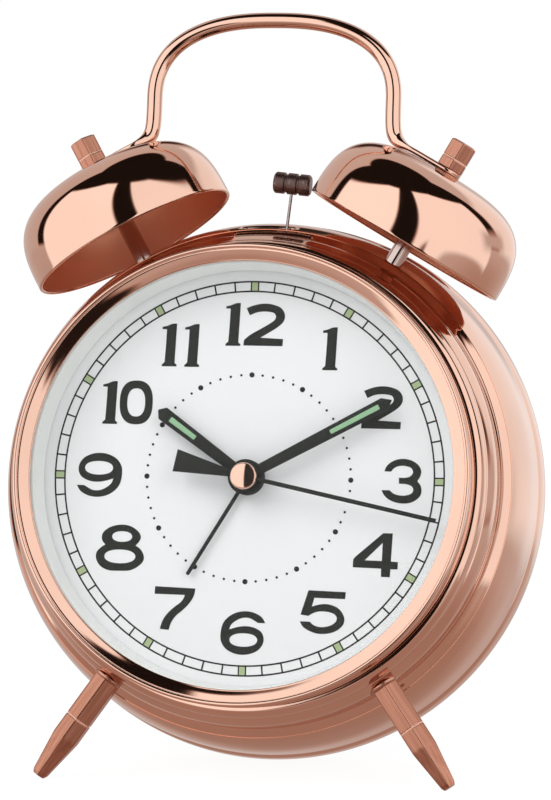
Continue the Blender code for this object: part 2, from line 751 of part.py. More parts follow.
def build_arbors(clock, frames):
    """The seconds arbor, the three pipes with their gears, and the two setting arbors."""
    arbor_top = hand_height(SECOND_ORDER) + HAND_THICKNESS
    arbor = [(0, -housing_back_depth()), (ARBOR_RADIUS, -housing_back_depth())]
    arbor += [(ARBOR_RADIUS, arbor_top), (0, arbor_top)]
    piece("second_arbor", turned(arbor, HOLE_STEPS), steel("second_arbor"), frames["second"])

    setting_module = gear_module(SETTING_DISTANCE, CANNON_TEETH, MOTION_TEETH)
    hour_module = gear_module(SETTING_DISTANCE, MOTION_PINION_TEETH, HOUR_TEETH)
    alarm_module = gear_module(ALARM_DISTANCE, ALARM_PINION_TEETH, ALARM_TEETH)
    alarm_phase = math.pi + math.pi / ALARM_TEETH
    gears = (
        ("minute_pipe", "minute", 0, MINUTE_ORDER, 3, CANNON_TEETH, setting_module, 0.0),
        ("hour_wheel", "hour", 1, HOUR_ORDER, 1, HOUR_TEETH, hour_module, math.pi / HOUR_TEETH),
        ("alarm_wheel", "alarm", 2, ALARM_ORDER, 0, ALARM_TEETH, alarm_module, alarm_phase),
    )
    for name, frame, level, order, depth_level, teeth, module, phase in gears:
        top = hand_height(order) + HAND_THICKNESS
        low = gear_depth(depth_level) + GEAR_THICKNESS
        axis = frames[frame]
        turn = {"alarm": ALARM_ANGLE, "hour": HOUR_ANGLE, "minute": MINUTE_ANGLE}[frame]
        pipe = piece(name, pipe_piece(level, top, low), brass(name), axis)
        inner, outer = pipe_radii(level)
        wheel = plate(
            [gear_outline(teeth, module, phase + turn), circle((inner + outer) / 2, BOSS_STEPS)],
            -low,
            -gear_depth(depth_level),
        )
        combine(pipe, tool_body(f"{name}_teeth", wheel, axis), "UNION")

    knob_base = CASE_BACK_DEPTH - COVER_SET_IN + GAP
    time_axis = empty_frame("time_axis", clock, at(x=SETTING_DISTANCE))
    motion_low = gear_depth(3) + GEAR_THICKNESS
    shaft = [(0, -knob_base - KNOB_HEIGHT / 2), (KNOB_ARBOR_RADIUS, -knob_base - KNOB_HEIGHT / 2)]
    shaft += [(KNOB_ARBOR_RADIUS, -gear_depth(1)), (0, -gear_depth(1))]
    motion = piece("motion_wheel", turned(shaft, HOLE_STEPS), brass("motion_wheel"), time_axis)
    bore = circle(KNOB_ARBOR_RADIUS / 2, HOLE_STEPS)
    wheel_phase = math.pi + math.pi / MOTION_TEETH
    teeth = gear_outline(MOTION_TEETH, setting_module, wheel_phase)
    wheel = plate([teeth, bore], -motion_low, -gear_depth(3))
    combine(motion, tool_body("motion_wheel_teeth", wheel, time_axis), "UNION")
    pinion = plate(
        [gear_outline(MOTION_PINION_TEETH, hour_module, math.pi), bore],
        -gear_depth(1) - GEAR_LEVEL,
        -gear_depth(1),
    )
    combine(motion, tool_body("motion_pinion_teeth", pinion, time_axis), "UNION")

    alarm_axis = empty_frame("alarm_set_axis", clock, at(x=-ALARM_DISTANCE))
    shaft = [(0, -knob_base - KNOB_HEIGHT / 2), (KNOB_ARBOR_RADIUS, -knob_base - KNOB_HEIGHT / 2)]
    shaft += [(KNOB_ARBOR_RADIUS, -gear_depth(0)), (0, -gear_depth(0))]
    setter = piece("alarm_arbor", turned(shaft, HOLE_STEPS), brass("alarm_arbor"), alarm_axis)
    pinion = plate(
        [gear_outline(ALARM_PINION_TEETH, alarm_module, 0.0), bore],
        -gear_depth(0) - GEAR_THICKNESS,
        -gear_depth(0),
    )
    combine(setter, tool_body("alarm_pinion_teeth", pinion, alarm_axis), "UNION")
    build_knob("time_knob", time_axis, knob_base)
    build_knob("alarm_knob", alarm_axis, knob_base)


def build_knob(name, axis, base):
    """A fluted knob with a blind bore that the arbor's end is pressed into."""
    rim = []
    for i in range(2 * KNOB_FLUTES):
        turn = math.tau * i / (2 * KNOB_FLUTES)
        radius = KNOB_RADIUS - (i % 2) * KNOB_FLUTE_DEPTH
        rim.append((radius * math.cos(turn), radius * math.sin(turn)))
    rings = []
    for share, height_share in KNOB_RING_SHARES:
        depth = base + KNOB_HEIGHT * height_share
        rings.append([(x * share, y * share, -depth) for x, y in rim])
    knob = piece(name, lofted(rings), moulding(name, BLACK), axis)
    depth = base + KNOB_HEIGHT / 2 + GAP
    bore = plate([circle(KNOB_ARBOR_RADIUS + GAP, HOLE_STEPS)], -depth, -base + CUT_OVERRUN)
    combine(knob, tool_body(f"{name}_bore", bore, axis), "DIFFERENCE")


def build_movement(clock):
    """Carrier plate, the moulded housing with its front neck, and the housing's lid."""
    radius = carrier_radius()
    low = plate_front_depth() + PLATE_THICKNESS
    hole = neck_outer_radius() + GAP
    carrier = [(hole, -low), (radius, -low), (radius, -plate_front_depth()), (hole, -plate_front_depth())]
    plate_piece = piece("carrier_plate", turned(carrier, FACE_STEPS), moulding("carrier_plate", WHITE), clock)
    build_pillars(clock, plate_piece)

    front = housing_front_depth()
    back = housing_back_depth()
    outline = rounded_box(HOUSING_WIDTH, -HOUSING_BOTTOM, HOUSING_TOP, HOUSING_CORNER)
    grey = moulding("movement_housing", GREY)
    housing = piece("movement_housing", plate([outline], -back, -front), grey, clock)
    inside = rounded_box(
        HOUSING_WIDTH - 2 * HOUSING_WALL,
        -HOUSING_BOTTOM + HOUSING_WALL,
        HOUSING_TOP - HOUSING_WALL,
        HOUSING_CORNER - HOUSING_WALL,
    )
    cavity = plate([inside], -back - CUT_OVERRUN, -front - HOUSING_WALL)
    combine(housing, tool_body("movement_cavity", cavity, clock), "DIFFERENCE")
    neck = plate([circle(neck_outer_radius(), BOSS_STEPS)], -front - HOUSING_WALL / 2, NECK_LEAD)
    combine(housing, tool_body("movement_neck", neck, clock), "UNION")
    bore_edge = circle(neck_outer_radius() - NECK_WALL, BOSS_STEPS)
    bore = plate([bore_edge], -front - 2 * HOUSING_WALL, NECK_LEAD + CUT_OVERRUN)
    combine(housing, tool_body("movement_bore", bore, clock), "DIFFERENCE")

    lid_front = back + GAP
    holes = [
        circle(ARBOR_RADIUS + GAP, HOLE_STEPS),
        circle(KNOB_ARBOR_RADIUS + GAP, HOLE_STEPS, SETTING_DISTANCE),
        circle(KNOB_ARBOR_RADIUS + GAP, HOLE_STEPS, -ALARM_DISTANCE),
    ]
    lid = plate([outline] + holes, -lid_front - HOUSING_WALL, -lid_front)
    piece("movement_lid", lid, moulding("movement_lid", GREY), clock)


def lid_back_depth():
    return housing_back_depth() + GAP + HOUSING_WALL


def pillar_places():
    """The four screw pillars stand in a ring just inside the carrier plate's edge."""
    ring_radius = carrier_radius() - PILLAR_RADIUS - PILLAR_SET_IN
    for word, angle in zip(PILLAR_WORDS, PILLAR_ANGLES):
        yield word, ring_radius * math.sin(angle), ring_radius * math.cos(angle)


def build_pillars(clock, carrier):
    """The pillars moulded on the carrier plate, and the screws that hold the rear cover to them."""
    front = plate_front_depth() + PLATE_THICKNESS / 2
    cover_back = CASE_BACK_DEPTH - COVER_SET_IN
    back = cover_back - COVER_THICKNESS - GAP
    hollow = SCREW_RADIUS + GAP
    reach = back - SCREW_LENGTH
    pillars = []
    for word, x, y in pillar_places():
        place = Matrix.Translation((x, y, 0))
        profile = [(0, -front), (PILLAR_RADIUS, -front), (PILLAR_RADIUS, -back), (hollow, -back)]
        profile += [(hollow, -reach), (0, -reach)]
        pillars.append(moved(turned(profile, HOLE_STEPS), place))
        head = cover_back + GAP
        tip = reach + GAP
        profile = [(0, -tip), (SCREW_RADIUS, -tip), (SCREW_RADIUS, -head), (SCREW_HEAD_RADIUS, -head)]
        top = head + SCREW_HEAD_HEIGHT
        profile += [(SCREW_HEAD_RADIUS, -head - SCREW_HEAD_HEIGHT / 2)]
        profile += [(SCREW_HEAD_RADIUS * FLANGE_TOP_SHARE, -top), (0, -top)]
        name = f"cover_screw_{word}"
        screw = piece(name, moved(turned(profile, HOLE_STEPS), place), steel(name), clock)
        blade = rounded_box(3 * SCREW_HEAD_RADIUS, -SCREW_SLOT / 2, SCREW_SLOT / 2, SCREW_SLOT / 4, steps=1)
        groove = plate([blade], -head - 2 * SCREW_HEAD_HEIGHT, -head - SCREW_HEAD_HEIGHT / 2)
        combine(screw, tool_body(f"{name}_slot", moved(groove, place), clock), "DIFFERENCE")
    combine(carrier, tool_body("pillars", joined(*pillars), clock), "UNION")


def battery_drop():
    """How far the battery lies below the axis: the bay's lower corners stay inside the rear opening."""
    half_length, half_height, _, _ = bay_size()
    reach = REAR_OPENING_RADIUS - BAY_SET_IN
    low = math.sqrt(reach ** 2 - (half_length + BAY_RIM) ** 2)
    return low - half_height - BAY_RIM


def bay_size():
    """Half length and half height of the battery bay's inside, and its bottom and top depth."""
    half_length = BATTERY_LENGTH / 2 + CONTACT_SPACE
    half_height = BATTERY_RADIUS + GAP
    door_front = CASE_BACK_DEPTH - COVER_SET_IN - DOOR_THICKNESS
    bottom = door_front - GAP - 2 * BATTERY_RADIUS - GAP
    return half_length, half_height, bottom, door_front


def build_cover(clock):
    """The rear cover with its battery bay, arbor holes, switch slot and screw holes."""
    back = CASE_BACK_DEPTH - COVER_SET_IN
    front = back - COVER_THICKNESS
    radius = REAR_OPENING_RADIUS - GAP
    disc = [(0, -back), (radius, -back), (radius, -front), (0, -front)]
    cover = piece("rear_cover", turned(disc, FACE_STEPS), moulding("rear_cover", BLACK), clock)
    half_length, half_height, bottom, door_front = bay_size()
    drop = battery_drop()
    rim = rounded_box(
        2 * (half_length + BAY_RIM),
        -drop - half_height - BAY_RIM,
        -drop + half_height + BAY_RIM,
        BAY_RIM / 2,
    )
    box = plate([rim], -front - COVER_THICKNESS / 2, -bottom + BAY_WALL)
    combine(cover, tool_body("bay_walls", box, clock), "UNION")
    hollow = rounded_box(
        2 * half_length, -drop - half_height, -drop + half_height, BAY_WALL / 2
    )
    cavity = plate([hollow], -back - CUT_OVERRUN, -bottom)
    combine(cover, tool_body("bay_cavity", cavity, clock), "DIFFERENCE")
    seat = rounded_box(
        2 * (half_length + DOOR_LEDGE + GAP),
        -drop - half_height - DOOR_LEDGE - GAP,
        -drop + half_height + DOOR_LEDGE + GAP,
        DOOR_LEDGE,
    )
    recess = plate([seat], -back - CUT_OVERRUN, -door_front + GAP)
    combine(cover, tool_body("door_recess", recess, clock), "DIFFERENCE")
    cuts = [
        circle(KNOB_ARBOR_RADIUS + GAP, HOLE_STEPS, SETTING_DISTANCE),
        circle(KNOB_ARBOR_RADIUS + GAP, HOLE_STEPS, -ALARM_DISTANCE),
    ]
    for _, x, y in pillar_places():
        cuts.append(circle(SCREW_RADIUS + GAP, HOLE_STEPS, x, y))
    slot = rounded_box(
        SWITCH_WIDTH + SWITCH_TRAVEL + 2 * GAP,
        SWITCH_RISE - SWITCH_HEIGHT / 2 - GAP,
        SWITCH_RISE + SWITCH_HEIGHT / 2 + GAP,
        GAP,
        x=SWITCH_TRAVEL / 2,
    )
    cuts.append(slot)
    holes = [plate([edge], -back - CUT_OVERRUN, -front + CUT_OVERRUN) for edge in cuts]
    combine(cover, tool_body("cover_holes", joined(*holes), clock), "DIFFERENCE")

    lid = rounded_box(
        2 * (half_length + DOOR_LEDGE),
        -drop - half_height - DOOR_LEDGE,
        -drop + half_height + DOOR_LEDGE,
        DOOR_LEDGE,
    )
    door = piece("battery_door", plate([lid], -back, -door_front), moulding("battery_door", BLACK), clock)
    grips = []
    for i in range(DOOR_GRIP_COUNT):
        y = -drop + (i - (DOOR_GRIP_COUNT - 1) / 2) * 2 * DOOR_GRIP_WIDTH
        groove = rounded_box(
            DOOR_GRIP_LENGTH, y - DOOR_GRIP_WIDTH / 2, y + DOOR_GRIP_WIDTH / 2, DOOR_GRIP_WIDTH / 4, steps=1
        )
        grips.append(plate([groove], -back - CUT_OVERRUN, -back + DOOR_THICKNESS / 3))
    combine(door, tool_body("door_grips", joined(*grips), clock), "DIFFERENCE")


def build_switch(clock):
    """The alarm switch: a keeper plate inside the cover and a ridged thumb piece through the slot."""
    back = CASE_BACK_DEPTH - COVER_SET_IN
    front = back - COVER_THICKNESS
    low = SWITCH_RISE - SWITCH_HEIGHT / 2
    high = SWITCH_RISE + SWITCH_HEIGHT / 2
    thumb = rounded_box(SWITCH_WIDTH, low, high, GAP)
    stem = plate([thumb], -back - SWITCH_PROUD, -front + 2 * GAP)
    switch = piece("alarm_switch", stem, moulding("alarm_switch", WHITE), clock)
    keeper = rounded_box(
        SWITCH_WIDTH + SWITCH_TRAVEL, low - SWITCH_HEIGHT / 2, high + SWITCH_HEIGHT / 2, SWITCH_HEIGHT / 4
    )
    tail = plate([keeper], -front + GAP, -front + GAP + HOUSING_WALL)
    combine(switch, tool_body("switch_keeper", tail, clock), "UNION")
    ridges = []
    for i in range(SWITCH_RIDGES):
        x = (i - (SWITCH_RIDGES - 1) / 2) * SWITCH_WIDTH / (SWITCH_RIDGES + 1)
        groove = rounded_box(2 * GAP, low - CUT_OVERRUN, high + CUT_OVERRUN, GAP / 2, x=x, steps=1)
        ridges.append(plate([groove], -back - SWITCH_PROUD - CUT_OVERRUN, -back - SWITCH_PROUD + 2 * GAP))
    combine(switch, tool_body("switch_ridges", joined(*ridges), clock), "DIFFERENCE")


def build_battery(clock):
    """The cell on its side in the bay, between two stamped contacts."""
    half_length, _, bottom, _ = bay_size()
    drop = battery_drop()
    depth = bottom + GAP + BATTERY_RADIUS
    sideways = Matrix.Translation((0, -drop, -depth)) @ Matrix.Rotation(math.pi / 2, 4, "Y")
    half = BATTERY_LENGTH / 2
    profile = [
        (0, -half),
        (BATTERY_RADIUS - BATTERY_BEVEL, -half),
        (BATTERY_RADIUS, -half + BATTERY_BEVEL),
        (BATTERY_RADIUS, half - BATTERY_BEVEL),
        (BATTERY_RADIUS - BATTERY_BEVEL, half),
        (BATTERY_NUB_RADIUS, half),
        (BATTERY_NUB_RADIUS, half + BATTERY_NUB),
        (0, half + BATTERY_NUB),
    ]
    cell = finish_of("battery_finish", (0.1, 0.1, 0.11), 0.35, 0.5)
    piece("battery", moved(turned(profile, BOSS_STEPS), sideways), cell, clock)
    for name, side, near in (("plus_contact", 1, half + BATTERY_NUB), ("minus_contact", -1, half)):
        strip = rounded_box(2 * BATTERY_NUB_RADIUS, -BATTERY_RADIUS, BATTERY_RADIUS, GAP, steps=1)
        blade = plate([strip], half_length - GAP - CONTACT_THICKNESS, half_length - GAP)
        turn = Matrix.Rotation(side * math.pi / 2, 4, "Y") @ Matrix.Rotation(math.pi / 2, 4, "Z")
        place = Matrix.Translation((0, -drop, -depth)) @ turn
        nose = [(0, near + GAP), (BATTERY_NUB_RADIUS / 2, near + GAP)]
        nose += [(BATTERY_NUB_RADIUS, half_length - GAP - CONTACT_THICKNESS / 2)]
        nose += [(0, half_length - GAP - CONTACT_THICKNESS / 2)]
        contact = piece(name, moved(blade, place), steel(name), clock)
        combine(contact, tool_body(f"{name}_nose", moved(turned(nose, HOLE_STEPS), place), clock), "UNION")


def bell_profile(radius, height):
    """The dome of a bell from its rim to its crown, as (radius, height) above the rim."""
    return [(radius * radius_share, height * height_share) for radius_share, height_share in BELL_SHARES]


def hexagon(across, height, turn=0.0):
    corner = across / math.sqrt(3)
    return [(x, y, height) for x, y in circle(corner, 6, start=turn)]


def stack_reach():
    """Heights along a bell post: crown top, washer top, tab top."""
    crown = BELL_RIM_REACH + BELL_HEIGHT
    washer = crown + GAP + WASHER_THICKNESS
    tab = washer + GAP + TAB_THICKNESS
    return crown, washer, tab


def build_bell_side(clock, side, word):
    """One bell with its post, washer, cap nut and the lock nut inside the case."""
    axis = radial(side * BELL_ANGLE, BELL_DEPTH)
    hole = STUD_RADIUS + GAP
    outer = bell_profile(BELL_RADIUS, BELL_HEIGHT)
    inner = bell_profile(BELL_RADIUS - BELL_WALL, BELL_HEIGHT - BELL_WALL)[::2]
    outline = outer + [(hole, BELL_HEIGHT), (hole, BELL_HEIGHT - BELL_WALL)] + inner[::-1]
    shape = turned([(radius, BELL_RIM_REACH + height) for radius, height in outline], BELL_STEPS)
    piece(f"bell_{word}", shape, rose_plate(f"bell_{word}"), clock, axis)

    crown, washer, tab = stack_reach()
    seat = seat_outside(BELL_DEPTH, POST_RADIUS)
    nut_top = seat_inside(BELL_DEPTH, LOCKNUT_ACROSS / 2)
    stud_low = nut_top - LOCKNUT_HEIGHT - GAP
    shoulder = crown - BELL_WALL - GAP
    stud_high = tab + GAP + NUT_BORE_DEPTH - GAP
    profile = [(0, stud_low), (STUD_RADIUS, stud_low), (STUD_RADIUS, seat), (POST_RADIUS, seat)]
    profile += [(POST_RADIUS, shoulder), (STUD_RADIUS, shoulder), (STUD_RADIUS, stud_high), (0, stud_high)]
    piece(f"bell_post_{word}", turned(profile, HOLE_STEPS), steel(f"bell_post_{word}"), clock, axis)

    disc = [(hole, crown + GAP), (WASHER_RADIUS, crown + GAP)]
    disc += [(WASHER_RADIUS * FLANGE_TOP_SHARE, washer), (hole, washer)]
    piece(f"bell_washer_{word}", turned(disc, BOSS_STEPS), rose_plate(f"bell_washer_{word}"), clock, axis)

    base = tab + GAP
    groove = base + NUT_HEIGHT - NUT_GROOVE_RISE
    rings = [
        hexagon(NUT_ACROSS, base),
        hexagon(NUT_ACROSS, groove - NUT_GROOVE_WIDTH),
        hexagon(NUT_ACROSS - 2 * NUT_GROOVE, groove - NUT_GROOVE_WIDTH / 2),
        hexagon(NUT_ACROSS, groove),
        hexagon(NUT_ACROSS, base + NUT_HEIGHT - NUT_CHAMFER),
        hexagon(NUT_ACROSS - 2 * NUT_CHAMFER, base + NUT_HEIGHT),
    ]
    nut = piece(f"cap_nut_{word}", lofted(rings), rose_plate(f"cap_nut_{word}"), clock, axis)
    bore = plate([circle(hole, HOLE_STEPS)], base - CUT_OVERRUN, base + NUT_BORE_DEPTH)
    combine(nut, tool_body(f"cap_nut_bore_{word}", bore, clock, axis), "DIFFERENCE")
    build_lock_nut(f"post_nut_{word}", hole, nut_top, axis, clock)


def build_lock_nut(name, hole, top, axis, clock):
    """A hexagonal nut inside the case, its flats square to the clock's axis."""
    corner = LOCKNUT_ACROSS / math.sqrt(3)
    shape = plate([circle(corner, 6), circle(hole, HOLE_STEPS)], top - LOCKNUT_HEIGHT, top)
    piece(name, shape, steel(name), clock, axis)


def handle_path():
    """Half of the handle's centre line from its apex to the tab's end, as (x, y) with tangents."""
    outwards = Vector((math.sin(BELL_ANGLE), math.cos(BELL_ANGLE)))
    along = Vector((math.cos(BELL_ANGLE), -math.sin(BELL_ANGLE)))
    tab = stack_reach()[-1]
    seat = outwards * (tab - TAB_THICKNESS / 2)
    points = []
    for i in range(ARCH_POINTS):
        turn = math.pi / 2 * i / (ARCH_POINTS - 1)
        x = (seat.x - ARCH_SET_IN) * math.sin(turn) ** (2 / ARCH_POWER)
        y = seat.y + ARCH_LIFT + ARCH_RISE * math.cos(turn) ** (2 / ARCH_POWER)
        points.append(Vector((x, y)))
    start = points[-1]
    end = seat - along * (TAB_LENGTH - TAB_OVERHANG)
    lead = start + Vector((0, -BEND_DROP))
    trail = end - along * BEND_REACH
    for i in range(1, BEND_POINTS + 1):
        t = i / BEND_POINTS
        point = start * (1 - t) ** 3 + lead * 3 * t * (1 - t) ** 2
        points.append(point + trail * 3 * t * t * (1 - t) + end * t ** 3)
    return points, seat, along


def build_handle(clock):
    """One swept rod: round over the arch, then flattened and widened towards each tab."""
    half, seat, along = handle_path()
    rod_points = len(half)
    half.append(seat - along * (TAB_LENGTH - TAB_OVERHANG) * TAB_MORPH_SHARE)
    half.append(seat + along * TAB_OVERHANG / 2)
    half.append(seat + along * TAB_OVERHANG)
    path = [Vector((-point.x, point.y)) for point in half[:0:-1]] + half
    flat_half = [0.0] * rod_points + [1.0] * (len(half) - rod_points)
    flatness = flat_half[:0:-1] + flat_half
    rings = []
    for i, point in enumerate(path):
        before = path[max(i - 1, 0)]
        after = path[min(i + 1, len(path) - 1)]
        tangent = (after - before).normalized()
        side = Vector((-tangent.y, tangent.x))
        end = i in (0, len(path) - 1)
        wide = ROD_RADIUS + (TAB_WIDTH / 2 - ROD_RADIUS) * flatness[i]
        wide *= TAB_MORPH_SHARE if end else 1
        thick = ROD_RADIUS + (TAB_THICKNESS / 2 - ROD_RADIUS) * flatness[i]
        ring = []
        for j in range(ROD_SIDES):
            turn = math.tau * (j + 0.5) / ROD_SIDES
            cos, sin = math.cos(turn), math.sin(turn)
            level = sin + (math.copysign(1, sin) - sin) * flatness[i]
            spot = point + side * thick * level
            ring.append((spot.x, spot.y, wide * cos - BELL_DEPTH))
        rings.append(ring)
    handle = piece("carry_handle", lofted(rings), rose_plate("carry_handle"), clock)
    holes = []
    _, washer, tab = stack_reach()
    for sign in (-1, 1):
        hole = plate([circle(STUD_RADIUS + GAP, HOLE_STEPS)], washer - CUT_OVERRUN, tab + CUT_OVERRUN)
        holes.append(moved(hole, radial(sign * BELL_ANGLE, BELL_DEPTH)))
    combine(handle, tool_body("handle_holes", joined(*holes), clock), "DIFFERENCE")


def build_leg(clock, side, word):
    """One hexagonal leg with its stud and flange, and the lock nut inside the case."""
    axis = radial(math.pi - side * LEG_ANGLE, LEG_DEPTH)
    base = seat_outside(LEG_DEPTH, FLANGE_RADIUS)
    top = base + FLANGE_THICKNESS
    hole = LEG_STUD_RADIUS + GAP
    disc = [(hole, base), (FLANGE_RADIUS, base), (FLANGE_RADIUS, base + FLANGE_THICKNESS / 2)]
    disc += [(FLANGE_RADIUS * FLANGE_TOP_SHARE, top), (hole, top)]
    piece(f"leg_flange_{word}", turned(disc, BOSS_STEPS), rose_plate(f"leg_flange_{word}"), clock, axis)
    start = leg_start_reach()
    tip = leg_tip_reach()
    groove = start + LEG_GROOVE_DROP
    taper = start + LEG_TAPER_DROP
    rings = [
        hexagon(LEG_ACROSS, start),
        hexagon(LEG_ACROSS, groove),
        hexagon(LEG_ACROSS - 2 * LEG_GROOVE, groove + LEG_GROOVE_WIDTH / 2),
        hexagon(LEG_ACROSS, groove + LEG_GROOVE_WIDTH),
        hexagon(LEG_ACROSS, taper),
        hexagon(LEG_TIP_ACROSS, tip - LEG_TIP_CHAMFER),
        hexagon(2 * leg_tip_half_width(), tip),
    ]
    leg = piece(f"leg_{word}", lofted(rings), rose_plate(f"leg_{word}"), clock, axis)
    nut_top = seat_inside(LEG_DEPTH, LOCKNUT_ACROSS / 2)
    stud_low = nut_top - LOCKNUT_HEIGHT - GAP
    stud = plate([circle(LEG_STUD_RADIUS, HOLE_STEPS)], stud_low, start + LEG_ACROSS)
    combine(leg, tool_body(f"leg_stud_{word}", stud, clock, axis), "UNION")
    build_lock_nut(f"leg_nut_{word}", hole, nut_top, axis, clock)


def hammer_rest():
    """How far the hammer leans at rest, and its reach: the head waits beside the right bell's rim."""
    rim_out = BELL_RIM_REACH * math.sin(BELL_ANGLE) - BELL_RADIUS * math.cos(BELL_ANGLE)
    rim_rise = BELL_RIM_REACH * math.cos(BELL_ANGLE) + BELL_RADIUS * math.sin(BELL_ANGLE)
    across = rim_out - HEAD_STAND_OFF - HEAD_LENGTH / 2
    rise = rim_rise + HEAD_LIFT - HAMMER_PIVOT_RISE
    return math.atan2(across, rise), math.hypot(across, rise)


def build_hammer(clock):
    """The hammer lever with its armature, the wire and the head, all on the pivot's axis."""
    lean, high = hammer_rest()
    pivot = empty_frame("hammer_axis", clock, at(y=HAMMER_PIVOT_RISE, depth=BELL_DEPTH, turn=lean))
    half = ARM_THICKNESS / 2
    lever = [
        (ARM_WIDTH / 2, ARM_REACH),
        (-ARM_WIDTH / 2, ARM_REACH),
        (-ARM_WIDTH / 2, -ARMATURE_TOP - HUB_RADIUS),
        (ARM_WIDTH / 2, -ARMATURE_TOP - HUB_RADIUS),
    ]
    arm = piece("hammer_arm", plate([lever], -half, half), steel("hammer_arm"), pivot)
    hub = plate([circle(HUB_RADIUS, BOSS_STEPS)], -half, half)
    combine(arm, tool_body("hammer_hub", hub, pivot), "UNION")
    block = rounded_box(ARMATURE_WIDTH, -ARMATURE_DROP, -ARMATURE_TOP, GAP, steps=1)
    armature = plate([block], half - ARMATURE_DEPTH, half)
    combine(arm, tool_body("armature", armature, pivot), "UNION")
    bores = plate([circle(PIN_RADIUS + GAP, HOLE_STEPS)], -half - CUT_OVERRUN, half + CUT_OVERRUN)
    socket_edge = circle(WIRE_RADIUS + GAP, HOLE_STEPS)
    socket = plate([socket_edge], ARM_REACH - WIRE_SINK - GAP, ARM_REACH + CUT_OVERRUN)
    upwards = Matrix.Rotation(-math.pi / 2, 4, "X")
    combine(arm, tool_body("hammer_bores", joined(bores, moved(socket, upwards)), pivot), "DIFFERENCE")

    low = ARM_REACH - WIRE_SINK
    head_low = high - HEAD_RADIUS
    wire = [(0, low), (WIRE_RADIUS, low), (WIRE_RADIUS, high), (0, high)]
    piece("hammer_wire", moved(turned(wire, HOLE_STEPS), upwards), steel("hammer_wire"), pivot)

    length = HEAD_LENGTH / 2
    third = HEAD_LENGTH / 6
    side = [(0, -length), (HEAD_RADIUS - HEAD_CHAMFER, -length), (HEAD_RADIUS, -length + HEAD_CHAMFER)]
    for centre in (-third, third):
        side += [
            (HEAD_RADIUS, centre - HEAD_GROOVE),
            (HEAD_RADIUS - HEAD_GROOVE, centre),
            (HEAD_RADIUS, centre + HEAD_GROOVE),
        ]
    side += [(HEAD_RADIUS, length - HEAD_CHAMFER), (HEAD_RADIUS - HEAD_CHAMFER, length), (0, length)]
    across = Matrix.Translation((0, high, 0)) @ Matrix.Rotation(math.pi / 2, 4, "Y")
    dark = finish_of("hammer_head_finish", (0.07, 0.05, 0.045), 0.3, 0.9)
    head = piece("hammer_head", moved(turned(side, BOSS_STEPS), across), dark, pivot)
    hole = plate([circle(WIRE_RADIUS + GAP, HOLE_STEPS)], head_low - CUT_OVERRUN, high + GAP)
    combine(head, tool_body("hammer_head_hole", moved(hole, upwards), pivot), "DIFFERENCE")


def build_striker(clock):
    """The bracket behind the movement with the pivot pin, and the electromagnet by the armature."""
    front = lid_back_depth() + GAP
    back = front + BRACKET_THICKNESS
    height = HAMMER_PIVOT_RISE - MAGNET_DROP
    sweep = hammer_rest()[0]
    pole = ARMATURE_WIDTH / 2 + ARMATURE_DROP * math.sin(sweep) + GAP
    coil_start = pole + GAP
    coil_end = coil_start + COIL_LENGTH
    yoke = coil_end + GAP
    right = yoke + YOKE_THICKNESS + COIL_FLANGE
    outline = rounded_box(
        BRACKET_LEFT + right,
        HAMMER_PIVOT_RISE - BRACKET_DROP,
        HAMMER_PIVOT_RISE + BRACKET_RISE,
        COIL_FLANGE,
        x=(right - BRACKET_LEFT) / 2,
    )
    bracket = piece("hammer_bracket", plate([outline], -back, -front), steel("hammer_bracket"), clock)
    pin_top = BELL_DEPTH + ARM_THICKNESS / 2 + 2 * GAP
    pin_edge = circle(PIN_RADIUS, HOLE_STEPS, 0, HAMMER_PIVOT_RISE)
    pin = plate([pin_edge], -pin_top, -front - BRACKET_THICKNESS / 2)
    combine(bracket, tool_body("pivot_pin", pin, clock), "UNION")

    depth = back + GAP + COIL_RADIUS
    across = Matrix.Translation((0, height, -depth)) @ Matrix.Rotation(math.pi / 2, 4, "Y")
    inner = CORE_RADIUS + GAP
    neck = COIL_RADIUS - COIL_NECK
    spool = [
        (inner, coil_start),
        (COIL_RADIUS, coil_start),
        (COIL_RADIUS, coil_start + COIL_FLANGE),
        (neck, coil_start + COIL_FLANGE),
        (neck, coil_end - COIL_FLANGE),
        (COIL_RADIUS, coil_end - COIL_FLANGE),
        (COIL_RADIUS, coil_end),
        (inner, coil_end),
    ]
    copper = finish_of("striker_coil_finish", (0.6, 0.25, 0.1), 0.35, 0.6)
    piece("striker_coil", moved(turned(spool, BOSS_STEPS), across), copper, clock)
    rod = [(0, pole), (CORE_RADIUS, pole), (CORE_RADIUS, yoke + YOKE_THICKNESS / 2)]
    rod.append((0, yoke + YOKE_THICKNESS / 2))
    core = piece("striker_core", moved(turned(rod, HOLE_STEPS), across), steel("striker_core"), clock)
    strap = rounded_box(2 * COIL_RADIUS, -COIL_RADIUS, COIL_RADIUS, COIL_FLANGE, steps=1)
    end = moved(plate([strap], yoke, yoke + YOKE_THICKNESS), across)
    combine(core, tool_body("striker_yoke", end, clock), "UNION")


def build_part():
    clear_scene()
    clock = clock_frame()
    build_case(clock)
    build_face(clock)
    frames = hand_frames(clock)
    build_hands(frames)
    build_arbors(clock, frames)
    build_movement(clock)
    build_cover(clock)
    build_switch(clock)
    build_battery(clock)
    for side, word in ((-1, "left"), (1, "right")):
        build_bell_side(clock, side, word)
        build_leg(clock, side, word)
    build_handle(clock)
    build_hammer(clock)
    build_striker(clock)


build_part()
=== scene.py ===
"""A twin-bell alarm clock: fine surfaces, finishes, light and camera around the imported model.

Lengths are millimetres unless a name ends in _m. The face frame has its origin in the middle of the dial,
x towards three o'clock, y towards twelve and z out towards the reader. A depth is minus z. A radial frame has
its z pointing outwards from the clock's axis, its x along the rim and its y into the depth.
"""

import json
import math

import bmesh
import bpy
import numpy as np
from mathutils import Matrix, Vector


